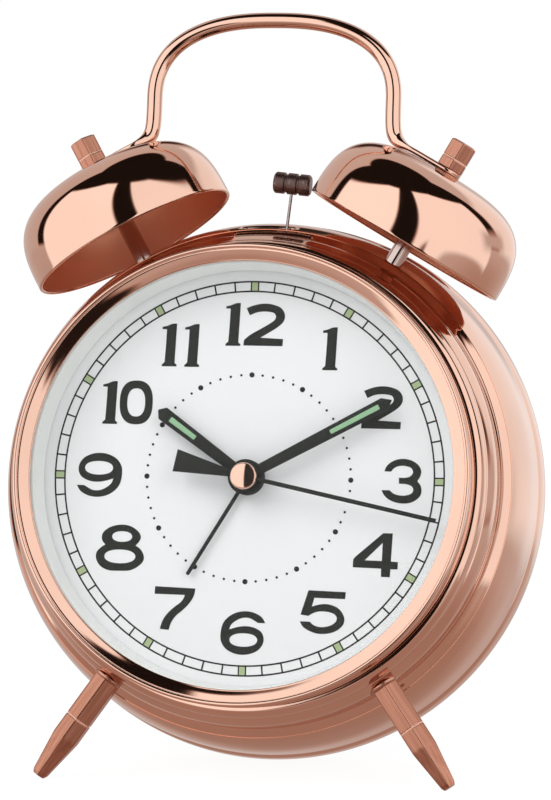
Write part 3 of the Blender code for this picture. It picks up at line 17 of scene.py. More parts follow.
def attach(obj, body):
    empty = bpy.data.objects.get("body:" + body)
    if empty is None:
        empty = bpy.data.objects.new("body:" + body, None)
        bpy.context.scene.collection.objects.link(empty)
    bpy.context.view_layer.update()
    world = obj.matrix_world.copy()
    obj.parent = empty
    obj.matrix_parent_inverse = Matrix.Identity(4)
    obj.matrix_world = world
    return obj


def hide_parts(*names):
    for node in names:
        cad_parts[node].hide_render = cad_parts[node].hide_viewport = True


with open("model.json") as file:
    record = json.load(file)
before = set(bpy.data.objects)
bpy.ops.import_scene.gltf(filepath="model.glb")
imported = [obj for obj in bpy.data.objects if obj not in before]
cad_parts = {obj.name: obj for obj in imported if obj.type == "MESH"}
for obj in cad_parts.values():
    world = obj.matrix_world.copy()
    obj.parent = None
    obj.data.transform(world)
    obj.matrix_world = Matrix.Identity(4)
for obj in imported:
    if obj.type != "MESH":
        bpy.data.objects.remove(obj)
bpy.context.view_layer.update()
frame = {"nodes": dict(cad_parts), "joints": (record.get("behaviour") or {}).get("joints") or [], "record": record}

MM = 0.001
MERGE_M = 0.000002
SAME_SPOT = 1e-4
SHARP_ANGLE = math.radians(35)
SIDES = ((-1, "left"), (1, "right"))

# Steps round a turned piece
ROUND_STEPS = 256
CAP_STEPS = 96
SMALL_STEPS = 48
WIRE_STEPS = 24
DOT_STEPS = 20

# Case: spun shell, as (radius, depth)
NECK_RADIUS = 48.6
NECK_FRONT = 9.0
SHOULDER_DEPTH = -3.1
SHOULDER_TURN_RADIUS = 49.9
RING_FRONT = (51.7, 0.5)
RING_CREST = (53.3, 4.6)
RING_BACK = (53.3, 8.6)
DRUM_FRONT = (55.5, 12.1)
DRUM_REAR = (58.7, 32.0)
BEAD_CREST = (59.4, 37.0)
BEAD_END = (56.5, 43.6)
REAR_OPENING_RADIUS = 55.8
CASE_WALL = 0.8
CREASE_WIDTH = 0.34
CREASE_DEPTH = 0.26
CREASE_SLANT = 0.02
RING_LEAD = (0.1, 0.25)
RING_SHARES = ((0, 0), (0.46, 0.34), (0.86, 0.72), (1, 1))
COVE_SHARES = ((0, 0), (0.14, 0.42), (0.72, 0.82), (1, 1))
DRUM_SHARES = ((0, 0), (0.46, 0.24), (0.8, 0.55), (1, 1))
BEAD_SHARES = ((0, 0), (0.7, 0.4), (1, 1))
SLOT_LENGTH = 12.4
SLOT_WIDTH = 2.4
SLOT_CUT_FROM = 50
BELL_DEPTH = 14.5

# Bezel, crystal, inner ring and dial, as (radius, z)
BEZEL_INNER_RADIUS = 45.9
BEZEL_UNDER = 9.6
BEZEL_FACE_LOW = 9.95
BEZEL_FACE_HIGH = 10.9
BEZEL_ROUND = (0.22, 0.1)
BEZEL_RISE = (0.3, 0.13)
BEZEL_DISH = (47.2, 10.5)
BEZEL_CREST_START = 48.3
BEZEL_LIP_RADIUS = 0.55
BEZEL_OUTER_RADIUS = 49.6
BEZEL_SKIRT_RADIUS = 48.9
BEZEL_SKIRT_LOW = 3.4
CRYSTAL_RADIUS = 47.5
CRYSTAL_LOW = 8.1
CRYSTAL_HIGH = 9.3
INNER_RING_RADIUS = 44.9
INNER_RING_LOW = 0.3
INNER_RING_HIGH = 7.8
INNER_RING_FLARE = 0.8
DIAL_HOLE = 3.4
DIAL_THICKNESS = 0.5

# Print on the dial
PRINT_LOW = -0.02
PRINT_HIGH = 0.05
TRACK_RADII = (40.4, 42.5)
TRACK_LINE = 0.34
HOUR_BLOCK_WIDTH = 1.25
HOUR_BLOCK_BORDER = 0.3
DOT_RING_RADIUS = 22.3
MINUTE_DOT_RADIUS = 0.27
HOUR_DOT_RADIUS = 0.57

# Hands: their heights above the dial, bores and turns, then their lengths and widths
HAND_THICKNESS = 0.4
HAND_HEIGHTS = {"alarm": 1.0, "hour": 2.3, "minute": 3.6, "second": 4.9}
HAND_BORES = {"alarm": 2.65, "hour": 2.0, "minute": 1.35, "second": 0.7}
HAND_TURNS = {name: math.radians(turn) for name, turn in
              (("alarm", 210.6), ("hour", 305.6), ("minute", 61.4), ("second", 101.8))}
HAND_EDGE = 0.05
BLADE_INSET = 0.01
BLADE_START = 0.3
BOSS_RADIUS = 3.8
CAP_RADIUS = 2.9
CAP_HEIGHT = 1.5
CAP_LOW = 5.6
CAP_EDGE = 0.45
CAP_CROWN = 0.3
CAP_EDGE_TURN = 1.3
HOUR_SIZE = (24.3, 3.05)
MINUTE_SIZE = (35.5, 2.9)
SWORD_SHARES = ((0, 0.76), (0.55, 0.9), (0.95, 1), (1, 0.08))
SECOND_SIZE = (42.6, 0.95)
SECOND_TAIL = (15.5, 4.9)
SECOND_ROOT = 1.0
ALARM_SIZE = (24.6, 0.8)
ALARM_ROOT = 2.9

# Luminous inlays: length, width and distance from the hand's tip
HAND_LUMES = {"hour": (6.9, 1.2, 3.3), "minute": (11.8, 1.1, 3.0)}
LUME_TAPER = 0.86
LUME_SINK = 0.1
LUME_PROUD = 0.08
LUME_EDGE = 0.04
LUME_CUT = 0.12

# Bells on their posts, with washers and cap nuts, as reaches from the clock's axis
BELL_TURN = math.radians(29.6)
BELL_RIM_REACH = 60.3
BELL_RADIUS = 23.4
BELL_HEIGHT = 18.2
BELL_WALL = 0.8
BELL_POWER = 3.3
BELL_HOLE = 1.6
BELL_ROLL = 0.45
POST_RADIUS = 1.95
POST_LOW = 55.35
POST_HIGH = 77.1
STUD_RADIUS = 1.3
STUD_LOW = 52.2
STUD_HIGH = 85.1
WASHER = (3.7, 78.1, 78.62)
WASHER_TAPER = 0.95
NUT_ACROSS = 5.75
NUT_TURN = math.radians(38)
NUT_LOW = 79.75
NUT_HIGH = 86.2
NUT_GROOVE = (81.8, 82.25)
NUT_GROOVE_DEPTH = 0.14
NUT_CHAMFER = 0.6
GROOVE_SLOPE = 0.12
HEX_CUT = 0.055

# Carrying handle
ROD_RADIUS = 1.7
TAB_REACH = 79.2
ARCH_HALF_WIDTH = 26.59
ARCH_SPRING = 84.3
ARCH_RISE = 17.6
ARCH_POWER = 2.45
BEND_DROP = 9.8
BEND_REACH = 8.4
TAB_ROOT = 6.1
TAB_TIP = 2.9
TAB_HALF_WIDTH = 3.3
TAB_HALF_THICKNESS = 0.6
FLATTEN_FROM = 14.6
FLATTEN_LENGTH = 5.2
TAB_SQUARENESS = 3

# Legs
LEG_TURN = math.radians(34.7)
LEG_DEPTH = 5.2
LEG_ACROSS = 5.6
LEG_LOW = 52.4
LEG_STUD = (1.5, 49.5)
LEG_GROOVE = 63.9
LEG_GROOVE_WIDTH = 0.42
LEG_GROOVE_DEPTH = 0.16
LEG_TAPER = 68.9
LEG_TIP_ACROSS = 3.3
LEG_TIP_CHAMFER = 0.8
LEG_TIP = 78.99
LEG_TURNS = {"left": math.radians(30), "right": math.radians(24)}
LEG_STUD_LAP = 0.3
FLANGE = (3.7, 52.6, 53.5)
FLANGE_HOLE = 1.0
FLANGE_EDGE = 0.5
FLANGE_TAPER = 0.86

# Hammer
PIVOT_RISE = 16.0
HAMMER_LEAN = math.radians(5.6)
HAMMER_REACH = 50.0
WIRE_RADIUS = 0.34
WIRE_LOW = 12.5
HEAD_LENGTH = 8.1
HEAD_RADIUS = 2.35
HEAD_GROOVE = 0.35
HEAD_CHAMFER = 0.4
HEAD_GROOVE_SHAPE = ((-1, 0), (-0.55, 1), (0.55, 1), (1, 0))


# Frames: each is (origin in metres, three unit axes as rows)


def face_frame():
    """The face frame, from the joint on which the minute hand turns."""
    joint = next(j for j in frame["joints"] if j["name"] == "minute_hand_spin")
    into = np.array(joint["axis"], float)
    out = -into / np.linalg.norm(into)
    right = np.array((1.0, 0.0, 0.0))
    return np.array(joint["pos_m"], float), np.stack((right, np.cross(out, right), out))


FACE = face_frame()


def world_points(points, place):
    """Points in millimetres of a frame, as world points in metres: the origin plus points times axes."""
    origin, axes = place
    return origin + np.asarray(points, float) * MM @ axes


def inside_face(spot, axes):
    """A frame whose origin and axes are given in the face frame."""
    return world_points(spot, FACE), np.asarray(axes, float) @ FACE[1]


def radial(turn, depth):
    """A radial frame at an angle clockwise from twelve, with its origin on the clock's axis."""
    sin, cos = math.sin(turn), math.cos(turn)
    return inside_face((0, 0, -depth), ((cos, -sin, 0), (0, 0, -1), (sin, cos, 0)))


def flat(turn):
    """The face frame, turned clockwise."""
    sin, cos = math.sin(turn), math.cos(turn)
    return inside_face((0, 0, 0), ((cos, -sin, 0), (sin, cos, 0), (0, 0, 1)))


# Outlines: arrays of points (x, y) or (radius, height)


def flowing(points, steps=6):
    """A smooth line through points: cubic Hermite pieces, with slopes taken over the chord length."""
    points = np.asarray(points, float)
    along = np.concatenate(([0.0], np.cumsum(np.linalg.norm(np.diff(points, axis=0), axis=1))))
    if len(points) > 2:
        slopes = np.gradient(points, along, axis=0)
    else:
        slopes = np.repeat(np.diff(points, axis=0) / along[1], 2, axis=0)
    t = np.linspace(0, 1, steps, endpoint=False)[None, :, None]
    span = np.diff(along)[:, None, None]
    start, end = points[:-1, None], points[1:, None]
    line = start * (2 * t ** 3 - 3 * t ** 2 + 1) + end * (3 * t ** 2 - 2 * t ** 3)
    line += span * (slopes[:-1, None] * (t ** 3 - 2 * t ** 2 + t) + slopes[1:, None] * (t ** 3 - t ** 2))
    return np.concatenate((line.reshape(-1, points.shape[1]), points[-1:]))


def between(start, end, shares, steps=8):
    """A smooth line between two corners through shares of the way."""
    start, end = np.array(start, float), np.array(end, float)
    return start + (end - start) * flowing(shares, steps)


def bow(start, end, steps=12):
    """A quarter ellipse that leaves its start along the first coordinate and ends along the second."""
    start, end = np.array(start, float), np.array(end, float)
    turn = np.linspace(0, math.pi / 2, steps + 1)
    return start + (end - start) * np.column_stack((np.sin(turn), 1 - np.cos(turn)))


def superellipse(half_width, half_height, power, turns):
    """Points at polar angles on |x / a| ** p + |y / b| ** p = 1."""
    cos, sin = np.cos(turns), np.sin(turns)
    size = (np.abs(cos) ** power + np.abs(sin) ** power) ** (-1 / power)
    return np.stack((half_width * cos * size, half_height * sin * size), -1)


def four_sided(inner, outer, low, high):
    """The profile of a plain disc, ring or rod."""
    return [(inner, low), (outer, low), (outer, high), (inner, high)]


def thinned(line):
    """A closed line without repeated points."""
    return line[np.linalg.norm(line - np.roll(line, 1, 0), axis=1) > SAME_SPOT]


def softened(points, cuts, steps=4):
    """A closed outline with its corners rounded.

    Each corner becomes a quadratic curve that starts and ends a cut away from it, with one more point beyond
    each end, so that the flats beside it keep their shading. A cut of zero leaves its point alone.
    """
    cut_limit, lead_cuts, tiny = 0.4, 1.7, 1e-9
    points = np.asarray(points, float)
    cuts = np.broadcast_to(np.asarray(cuts, float), (len(points),))[:, None]
    ends, leads = [], []
    for shift in (1, -1):
        arm = np.roll(points, shift, 0) - points
        length = np.maximum(np.linalg.norm(arm, axis=1, keepdims=True), tiny)
        arm, cut = arm / length, np.minimum(cuts, length * cut_limit)
        ends.append((points + arm * cut)[:, None])
        leads.append((points + arm * np.minimum(cut * lead_cuts, length / 2))[:, None])
    t = np.linspace(0, 1, steps + 1)[None, :, None]
    curve = ends[0] * (1 - t) ** 2 + 2 * points[:, None] * t * (1 - t) + ends[1] * t ** 2
    return thinned(np.concatenate((leads[0], curve, leads[1]), axis=1).reshape(-1, points.shape[1]))


# Surfaces: each is (points, faces) in millimetres


def skin(grid, wrap_rows=False):
    """Quads between the neighbours of a grid of points, whose rows are closed loops."""
    rows, columns = grid.shape[:2]
    i = np.arange(rows if wrap_rows else rows - 1)[:, None]
    j = np.arange(columns)[None, :]
    here, below, j_next = i * columns, (i + 1) % rows * columns, (j + 1) % columns
    quads = np.stack((here + j, here + j_next, below + j_next, below + j), -1)
    return grid.reshape(-1, 3), quads.reshape(-1, 4).tolist()


def turned(profile, steps=ROUND_STEPS, closed=True):
    """A surface of revolution: each (radius, height) of the profile goes round the z axis."""
    profile = np.asarray(profile, float)
    turns = np.arange(steps) * math.tau / steps
    radius, height = profile[:, :1], profile[:, 1:]
    grid = np.stack((radius * np.cos(turns), radius * np.sin(turns), height + 0 * turns), -1)
    return skin(grid, wrap_rows=closed)


def drawn_out(outline, profile):
    """An outline of unit size scaled by each (size, height) of a profile."""
    outline, profile = np.asarray(outline, float), np.asarray(profile, float)
    size, height = profile[:, :1], profile[:, 1:]
    return skin(np.stack((size * outline[:, 0], size * outline[:, 1], height + 0 * outline[:, 0]), -1))


def linked(name, data):
    """A new object in the scene's collection."""
    item = bpy.data.objects.new(name, data)
    bpy.context.scene.collection.objects.link(item)
    return item


def final_mesh(item):
    """A new mesh of an object, with its curve filled or its modifier applied."""
    bpy.context.view_layer.update()
    return bpy.data.meshes.new_from_object(item.evaluated_get(bpy.context.evaluated_depsgraph_get()))


def cut_plate(loops, low, high, edge=0.0):
    """A flat plate between two heights, cut to closed outlines: a loop inside another is a hole."""
    curve = bpy.data.curves.new("outline", "CURVE")
    curve.dimensions = "2D"
    curve.fill_mode = "BOTH"
    curve.extrude = (high - low) / 2 - edge
    curve.bevel_depth = edge
    curve.bevel_resolution = 1
    curve.offset = -edge
    for loop in loops:
        spline = curve.splines.new("POLY")
        spline.points.add(len(loop) - 1)
        corners = np.column_stack((loop, np.zeros(len(loop)), np.ones(len(loop))))
        spline.points.foreach_set("co", corners.ravel())
        spline.use_cyclic_u = True
    holder = linked("outline", curve)
    mesh = final_mesh(holder)
    points = np.zeros(len(mesh.vertices) * 3)
    mesh.vertices.foreach_get("co", points)
    points = points.reshape(-1, 3) + (0, 0, (low + high) / 2)
    faces = [list(polygon.vertices) for polygon in mesh.polygons]
    bpy.data.objects.remove(holder)
    bpy.data.curves.remove(curve)
    bpy.data.meshes.remove(mesh)
    return points, faces


def shifted(surface, x, y):
    points, faces = surface
    return points + (x, y, 0), faces


# Pieces


def mesh_piece(name, surfaces, place, finishes):
    """One object from surfaces: doubles merged, faces turned outwards, smooth but for its sharp edges.

    The finishes are one for all the surfaces, or one for each.
    """
    points, faces, marks, start = [], [], [], 0
    for k, (surface_points, surface_faces) in enumerate(surfaces):
        points.append(surface_points)
        faces += [[start + i for i in face] for face in surface_faces]
        marks += [k if len(finishes) > 1 else 0] * len(surface_faces)
        start += len(surface_points)
    mesh = bpy.data.meshes.new(name)
    mesh.from_pydata(world_points(np.concatenate(points), place).tolist(), [], faces)
    mesh.polygons.foreach_set("material_index", marks)
    for finish in finishes:
        mesh.materials.append(finish)
    shape = bmesh.new()
    shape.from_mesh(mesh)
    bmesh.ops.remove_doubles(shape, verts=shape.verts, dist=MERGE_M)
    bmesh.ops.dissolve_degenerate(shape, edges=shape.edges, dist=MERGE_M / 2)
    bmesh.ops.recalc_face_normals(shape, faces=shape.faces)
    shape.to_mesh(mesh)
    shape.free()
    mesh.shade_smooth()
    mesh.set_sharp_from_angle(angle=SHARP_ANGLE)
    return linked(name, mesh)


def body_of_node(node):
    groups = frame["record"]["behaviour"]["bodies"]
    return next(body for body, members in groups.items() if node in members)


def slot_of_node(node):
    return next(part["material_slot"] for part in frame["record"]["subparts"] if part["node"] == node)


def fine(node, surfaces, place, *finishes):
    """The fine piece that stands for a CAD node: it takes the node's body, and the node is hidden."""
    piece = mesh_piece(node + "_fine", surfaces, place, finishes)
    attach(piece, body_of_node(node))
    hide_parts(node)
    return piece


def fine_turned(node, profile, cuts, place, finish, steps=ROUND_STEPS, arc=4):
    """A fine piece turned from one closed profile, whose corners are softened by their cuts."""
    fine(node, [turned(softened(profile, cuts, arc), steps)], place, finish)


def trim(name, body, surfaces, place, finish):
    """A piece that has no CAD node of its own."""
    piece = mesh_piece(name, surfaces, place, (finish,))
    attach(piece, body)


# Finishes


class Value:
    """A shader socket that takes Python arithmetic: each operation adds one Math node."""

    def __init__(self, graph, socket):
        self.graph = graph
        self.socket = socket

    def __add__(self, other):
        return self.graph.math("ADD", self, other)

    __radd__ = __add__

    def __sub__(self, other):
        return self.graph.math("SUBTRACT", self, other)

    def __rsub__(self, other):
        return self.graph.math("SUBTRACT", other, self)

    def __mul__(self, other):
        return self.graph.math("MULTIPLY", self, other)

    __rmul__ = __mul__


class Graph:
    """The node tree of a material or of the world."""

    def __init__(self, tree):
        self.tree = tree

    def node(self, kind, settings=(), sockets=(), out=0):
        """Adds a node: its settings first, then the values or links of its sockets. Returns one output."""
        node = self.tree.nodes.new("ShaderNode" + kind)
        for name, value in dict(settings).items():
            setattr(node, name, value)
        for name, value in dict(sockets).items():
            self.feed(node.inputs[name], value)
        return Value(self, node.outputs[out])

    def feed(self, socket, value):
        if isinstance(value, Value):
            self.tree.links.new(value.socket, socket)
        elif isinstance(value, tuple) and socket.type == "RGBA":
            socket.default_value = (*value, 1.0)
        else:
            socket.default_value = value

    def math(self, operation, *values):
        return self.node("Math", {"operation": operation}, dict(enumerate(values)))

    def mix(self, share, first, second):
        """A colour between two, by a share."""
        return self.node("Mix", {"data_type": "RGBA"}, {0: share, 6: first, 7: second}, out=2)

    def dot(self, vector, direction):
        return self.node("VectorMath", {"operation": "DOT_PRODUCT"}, {0: vector, 1: direction}, out="Value")

    def step(self, value, low, high):
        """Rises smoothly from 0 to 1 as the value goes from low to high."""
        return self.node("MapRange", {"interpolation_type": "SMOOTHSTEP"}, {0: value, 1: low, 2: high})

    def window(self, value, low, high, soft):
        """One between low and high, zero outside, with soft edges."""
        return self.step(value, low - soft, low + soft) * (1 - self.step(value, high - soft, high + soft))

    def place(self, scale=(1, 1, 1)):
        """Object coordinates in metres, stretched by a scale."""
        return self.node("Mapping", {}, {"Vector": self.node("TexCoord", out="Object"), "Scale": scale})

    def noise(self, vector, scale, detail=2.0, rough=0.5):
        sockets = {"Vector": vector, "Scale": scale, "Detail": detail, "Roughness": rough}
        return self.node("TexNoise", {}, sockets)

    def rays(self, *kinds):
        """Whether a ray is of each kind."""
        return [self.node("LightPath", out=f"Is {kind} Ray") for kind in kinds]

    def show(self, shader):
        """Makes a shader the material's surface."""
        self.feed(self.tree.nodes["Material Output"].inputs["Surface"], shader)


class Finish(Graph):
    """A material with one Principled shader: constants on its sockets, and nodes for what varies."""

    def __init__(self, name, **constants):
        self.material = bpy.data.materials.new(name)
        self.material.use_nodes = True
        super().__init__(self.material.node_tree)
        self.shader = self.tree.nodes["Principled BSDF"]
        for socket, value in constants.items():
            self.set(socket.replace("_", " ").title().replace("Ior", "IOR"), value)

    def set(self, socket, value):
        self.feed(self.shader.inputs[socket], value)

    def bump(self, height, strength, distance_mm):
        relief = self.node("Bump", {}, {"Height": height, "Strength": strength, "Distance": distance_mm * MM})
        self.set("Normal", relief)


def shaded(tone, share):
    return tuple(c * share for c in tone)


def grained(name, tones, rough, grain, relief, clouds=None, limits=None, **constants):
    """A finish whose colour drifts between two tones, with a fine grain in its gloss and relief.

    Grain and clouds are a noise's scale, detail and roughness. Rough is the least roughness and what the
    grain adds, and relief is the strength and height of its bumps. Without clouds the grain drives the
    colour, and limits narrow the change from one tone to the other.
    """
    finish = Finish(name, **constants)
    spot = finish.place()
    texture = finish.noise(spot, *grain)
    drift = finish.noise(spot, *clouds) if clouds else texture
    if limits:
        drift = finish.step(drift, *limits)
    finish.set("Base Color", finish.mix(drift, *tones))
    finish.set("Roughness", rough[0] + rough[1] * texture)
    finish.bump(texture, *relief)
    return finish.material


def polished_plate(name, tone, dull):
    """Copper-coloured plating on polished sheet: faint clouds, wipe marks and a hint of orange peel."""
    finish = Finish(name, metallic=1)
    spot = finish.place()
    clouds = finish.noise(spot, 35, 3)
    wipes = finish.noise(finish.place((1, 1, 0.25)), 420, 4, 0.6)
    finish.set("Base Color", finish.mix(finish.step(clouds, 0.35, 0.7), tone, shaded(tone, 0.93)))
    finish.set("Roughness", 0.045 + dull + 0.05 * clouds * wipes)
    finish.bump(finish.noise(spot, 600, 2), 0.04, 0.02)
    return finish.material


def drawn_bar(name, place, groove):
    """Plated hexagon bar as it was drawn: fine streaks along it, and a painted highlight in its turned groove,
    paler and rougher than the bar.

    The frame's third axis is the bar's, and the groove is a pair of heights along it.
    """
    finish = Finish(name, metallic=1)
    spot = finish.place()
    origin, axes = place
    across, deep, along = (tuple(axis) for axis in axes)
    height = finish.dot(spot, along)
    line = finish.node("CombineXYZ", {}, {
        "X": finish.dot(spot, across), "Y": finish.dot(spot, deep), "Z": height * 0.03
    })
    streaks = finish.noise(line, 1500, 3, 0.6)
    low, high = (float(origin @ axes[2]) + value * MM for value in groove)
    # The groove's band is a painted highlight: a pale colour where light catches the groove's edges.
    cut = finish.window(height, low, high, 0.05 * MM)
    bar = finish.mix(finish.step(streaks, 0.3, 0.75), (0.42, 0.18, 0.118), (0.59, 0.275, 0.19))
    finish.set("Base Color", finish.mix(cut, bar, (0.95, 0.66, 0.53)))
    finish.set("Roughness", 0.17 + 0.14 * streaks + 0.3 * cut)
    finish.bump(streaks, 0.08, 0.02)
    return finish.material


def steel(name, tone, rough):
    """Turned bright metal."""
    return grained(name, (shaded(tone, 0.86), tone), (rough, 0.12), (1800, 3, 0.6), (0.12, 0.01),
                   (90, 2), metallic=1)


def lume(name, tone):
    """Pale green luminous paste, slightly grainy."""
    return grained(name, (shaded(tone, 0.82), shaded(tone, 1.14)), (0.72, 0.15), (3600, 4, 0.65),
                   (0.35, 0.03))


def moulding(name, tone, rough, grain_size=900, relief=0.25):
    """Injection-moulded plastic with a spark-eroded grain."""
    lighter = tuple(min(1, c * 1.12 + 0.003) for c in tone)
    return grained(name, (tone, lighter), (rough, 0.14), (grain_size, 4, 0.6), (relief, 0.03), (45, 2))


def glass():
    """A clear crystal: light goes straight through, and its gloss grows with the fifth power of slant."""
    finish = Finish("clear_crystal", base_color=(0.97, 1, 0.99))
    finish.set("Roughness", 0.012 + 0.02 * finish.noise(finish.place(), 24, 3))
    slant = finish.node("LayerWeight", {}, {"Blend": 0.5}, out="Facing")
    share = 0.008 + 0.9 * finish.math("POWER", slant, 5)
    gloss = Value(finish, finish.shader.outputs[0])
    finish.show(finish.node("MixShader", {}, {0: share, 1: finish.node("BsdfTransparent"), 2: gloss}))
    return finish.material


def wound_copper():
    """Enamelled wire on the striker's coil: rows of turns along the coil, with painted shade in the gaps between
    turns.
    """
    finish = Finish("wound_wire_painted_shade", metallic=0.9)
    spot = finish.place()
    waves = {"Vector": spot, "Scale": 1100, "Distortion": 0.3}
    turns = finish.node("TexWave", {"bands_direction": "X"}, waves)
    # The darker bands between the turns are painted shade.
    finish.set("Base Color", finish.mix(turns, (0.32, 0.10, 0.04), (0.62, 0.26, 0.12)))
    finish.set("Roughness", 0.28 + 0.1 * finish.noise(spot, 400))
    finish.bump(turns, 0.6, 0.08)
    return finish.material


PLATE = polished_plate("polished_rose_plate", (0.86, 0.55, 0.43), 0)
SATIN_PLATE = polished_plate("satin_rose_plate", (0.60, 0.32, 0.23), 0.22)
STEEL = steel("bright_steel", (0.56, 0.54, 0.53), 0.16)
# The posts' steel is tinted rose: a painted reflection of the copper case and bells around them.
POST_STEEL_PAINTED_REFLECTION = steel("polished_posts_painted_reflection", (0.68, 0.54, 0.49), 0.05)
LUME = lume("luminous_paste", (0.29, 0.50, 0.30))
HOUR_LUME = lume("luminous_print", (0.40, 0.49, 0.27))
WHITE = moulding("white_moulding", (0.84, 0.86, 0.84), 0.42, 700, 0.08)
CRYSTAL = glass()
# The unpolished inside of a bell, under thin plating
BELL_INSIDE = grained("bell_inside", ((0.90, 0.40, 0.24), (0.97, 0.47, 0.29)), (0.34, 0.14),
                      (2600, 3, 0.65), (0.15, 0.02), (60, 3), metallic=0.65)
# Print on the dial, and the hands: satin black with a fine tooth
INK = grained("black_ink", ((0.011, 0.012, 0.010), (0.019, 0.020, 0.017)), (0.45, 0.2), (4200, 3, 0.6),
              (0.1, 0.01), specular_ior_level=0.25)
# Matt white lacquer on the dial plate
DIAL_PAINT = grained("dial_paint", ((0.805, 0.815, 0.825), (0.83, 0.84, 0.85)), (0.5, 0.12), (3200, 2),
                     (0.06, 0.01), (28, 3))
# Dark plated brass of the hammer's head, with warm worn specks
GUNMETAL = grained("dark_plating", ((0.19, 0.125, 0.112), (0.42, 0.30, 0.27)), (0.3, 0.2),
                   (1100, 4, 0.6), (0.3, 0.02), limits=(0.55, 0.75), metallic=1)
FINISH_OF_SLOT = {
    "rose_plate": PLATE,
    "steel": STEEL,
    "brass": steel("cut_brass", (0.76, 0.56, 0.27), 0.2),
    "hand_black": INK,
    "dial_white": DIAL_PAINT,
    "white_moulding": WHITE,
    "grey_moulding": moulding("grey_moulding", (0.22, 0.23, 0.24), 0.45),
    "black_moulding": moulding("black_moulding", (0.022, 0.022, 0.023), 0.42, 1100, 0.35),
    "knob_black": moulding("knob_moulding", (0.018, 0.018, 0.019), 0.24, 500, 0.1),
    "crystal_glass": CRYSTAL,
    "gunmetal": GUNMETAL,
    "coil_copper": wound_copper(),
    "cell_jacket": moulding("cell_jacket", (0.09, 0.09, 0.1), 0.3, 300, 0.08),
}


def dress_nodes():
    """Every CAD node gets the finish of its material slot."""
    for node, piece in frame["nodes"].items():
        piece.data.materials.clear()
        piece.data.materials.append(FINISH_OF_SLOT[slot_of_node(node)])


# Case and face


def crease_at(corner):
    """Three points in place of a corner of the case: a fine crease rolled into the sheet."""
    radius, depth = corner
    half = CREASE_WIDTH / 2
    return [(radius - CREASE_SLANT, depth - half), (radius - CREASE_DEPTH, depth),
            (radius + CREASE_SLANT, depth + half)]


def case_outline():
    """The case's wall as a closed (radius, z) line: the outside with its creases, then the inside.

    The first points of a run are left out where the crease before it takes their place.
    """
    neck = [(NECK_RADIUS, -NECK_FRONT), (NECK_RADIUS, SHOULDER_DEPTH)]
    ring_start = (RING_FRONT[0] + RING_LEAD[0], RING_FRONT[1] + RING_LEAD[1])
    outside = np.concatenate((
        neck,
        bow((SHOULDER_TURN_RADIUS, SHOULDER_DEPTH), RING_FRONT)[:-1],
        crease_at(RING_FRONT),
        between(ring_start, RING_CREST, RING_SHARES)[1:],
        crease_at(RING_BACK),
        between(RING_BACK, DRUM_FRONT, COVE_SHARES)[3:-1],
        crease_at(DRUM_FRONT),
        between(DRUM_FRONT, DRUM_REAR, DRUM_SHARES)[2:-1],
        crease_at(DRUM_REAR),
        between(DRUM_REAR, BEAD_CREST, BEAD_SHARES)[3:],
        bow(BEAD_END, BEAD_CREST)[::-1],
        [(REAR_OPENING_RADIUS, BEAD_END[1])],
    ))
    corners = np.array((*neck, RING_FRONT, RING_BACK, DRUM_FRONT, DRUM_REAR, BEAD_CREST))
    inside = corners - (CASE_WALL, 0)
    inside = np.concatenate((inside, [(REAR_OPENING_RADIUS, BEAD_END[1] - CASE_WALL)]))
    line = np.concatenate((outside, inside[::-1]))
    line[:, 1] *= -1
    return thinned(line)


def build_case():
    """The case's turned shell, with the hammer's slot cut out of its top."""
    shell = fine("case_shell", [turned(case_outline())], FACE, PLATE)
    half = SLOT_LENGTH / 2 - SLOT_WIDTH / 2
    ends = np.linspace(-math.pi / 2, math.pi / 2, 13)
    right = np.column_stack((half + SLOT_WIDTH / 2 * np.cos(ends), SLOT_WIDTH / 2 * np.sin(ends)))
    low, high = SLOT_CUT_FROM, DRUM_REAR[0]
    prism = drawn_out(np.concatenate((right, -right)), [(0, low), (1, low), (1, high), (0, high)])
    cutter = mesh_piece("slot_cutter", [prism], radial(0, BELL_DEPTH), [PLATE])
    cut = shell.modifiers.new("slot", "BOOLEAN")
    cut.operation = "DIFFERENCE"
    cut.solver = "EXACT"
    cut.object = cutter
    whole, shell.data = shell.data, final_mesh(shell)
    shell.modifiers.clear()
    bpy.data.meshes.remove(whole)
    bpy.data.objects.remove(cutter)
    shell.data.name = shell.name


def build_face():
    """Bezel ring, crystal, the pale ring inside it and the dial plate."""
    roll = np.linspace(math.pi, 0, 13)
    crest = np.column_stack((BEZEL_OUTER_RADIUS - BEZEL_LIP_RADIUS + BEZEL_LIP_RADIUS * np.cos(roll),
                             BEZEL_FACE_HIGH + BEZEL_LIP_RADIUS * np.sin(roll)))
    inner, low = BEZEL_INNER_RADIUS, BEZEL_FACE_LOW
    out, up = BEZEL_ROUND
    rise = (inner + BEZEL_RISE[0], low + BEZEL_RISE[1])
    outline = thinned(np.concatenate((
        [(inner, BEZEL_UNDER)],
        bow((inner + out, low + up), (inner, low - up), 6)[::-1],
        flowing([rise, BEZEL_DISH, (BEZEL_CREST_START, BEZEL_FACE_HIGH)]),
        crest,
        [(BEZEL_OUTER_RADIUS, BEZEL_SKIRT_LOW), (BEZEL_SKIRT_RADIUS, BEZEL_SKIRT_LOW),
         (BEZEL_SKIRT_RADIUS, BEZEL_UNDER)],
    )))
    cuts = np.zeros(len(outline))
    cuts[-3:] = 0.12
    fine_turned("bezel_ring", outline, cuts, FACE, PLATE, arc=3)

    disc = four_sided(0, CRYSTAL_RADIUS, CRYSTAL_LOW, CRYSTAL_HIGH)
    fine_turned("crystal", disc, (0, 0.15, 0.15, 0), FACE, CRYSTAL)
    ring = four_sided(INNER_RING_RADIUS, CRYSTAL_RADIUS, INNER_RING_LOW, INNER_RING_HIGH)
    ring[-1] = (INNER_RING_RADIUS + INNER_RING_FLARE, INNER_RING_HIGH)
    fine_turned("inner_ring", ring, (0.1, 0.1, 0.1, 0.3), FACE, WHITE)
    fine_turned("dial", four_sided(DIAL_HOLE, CRYSTAL_RADIUS, -DIAL_THICKNESS, 0), 0.08, FACE, DIAL_PAINT)


# Print


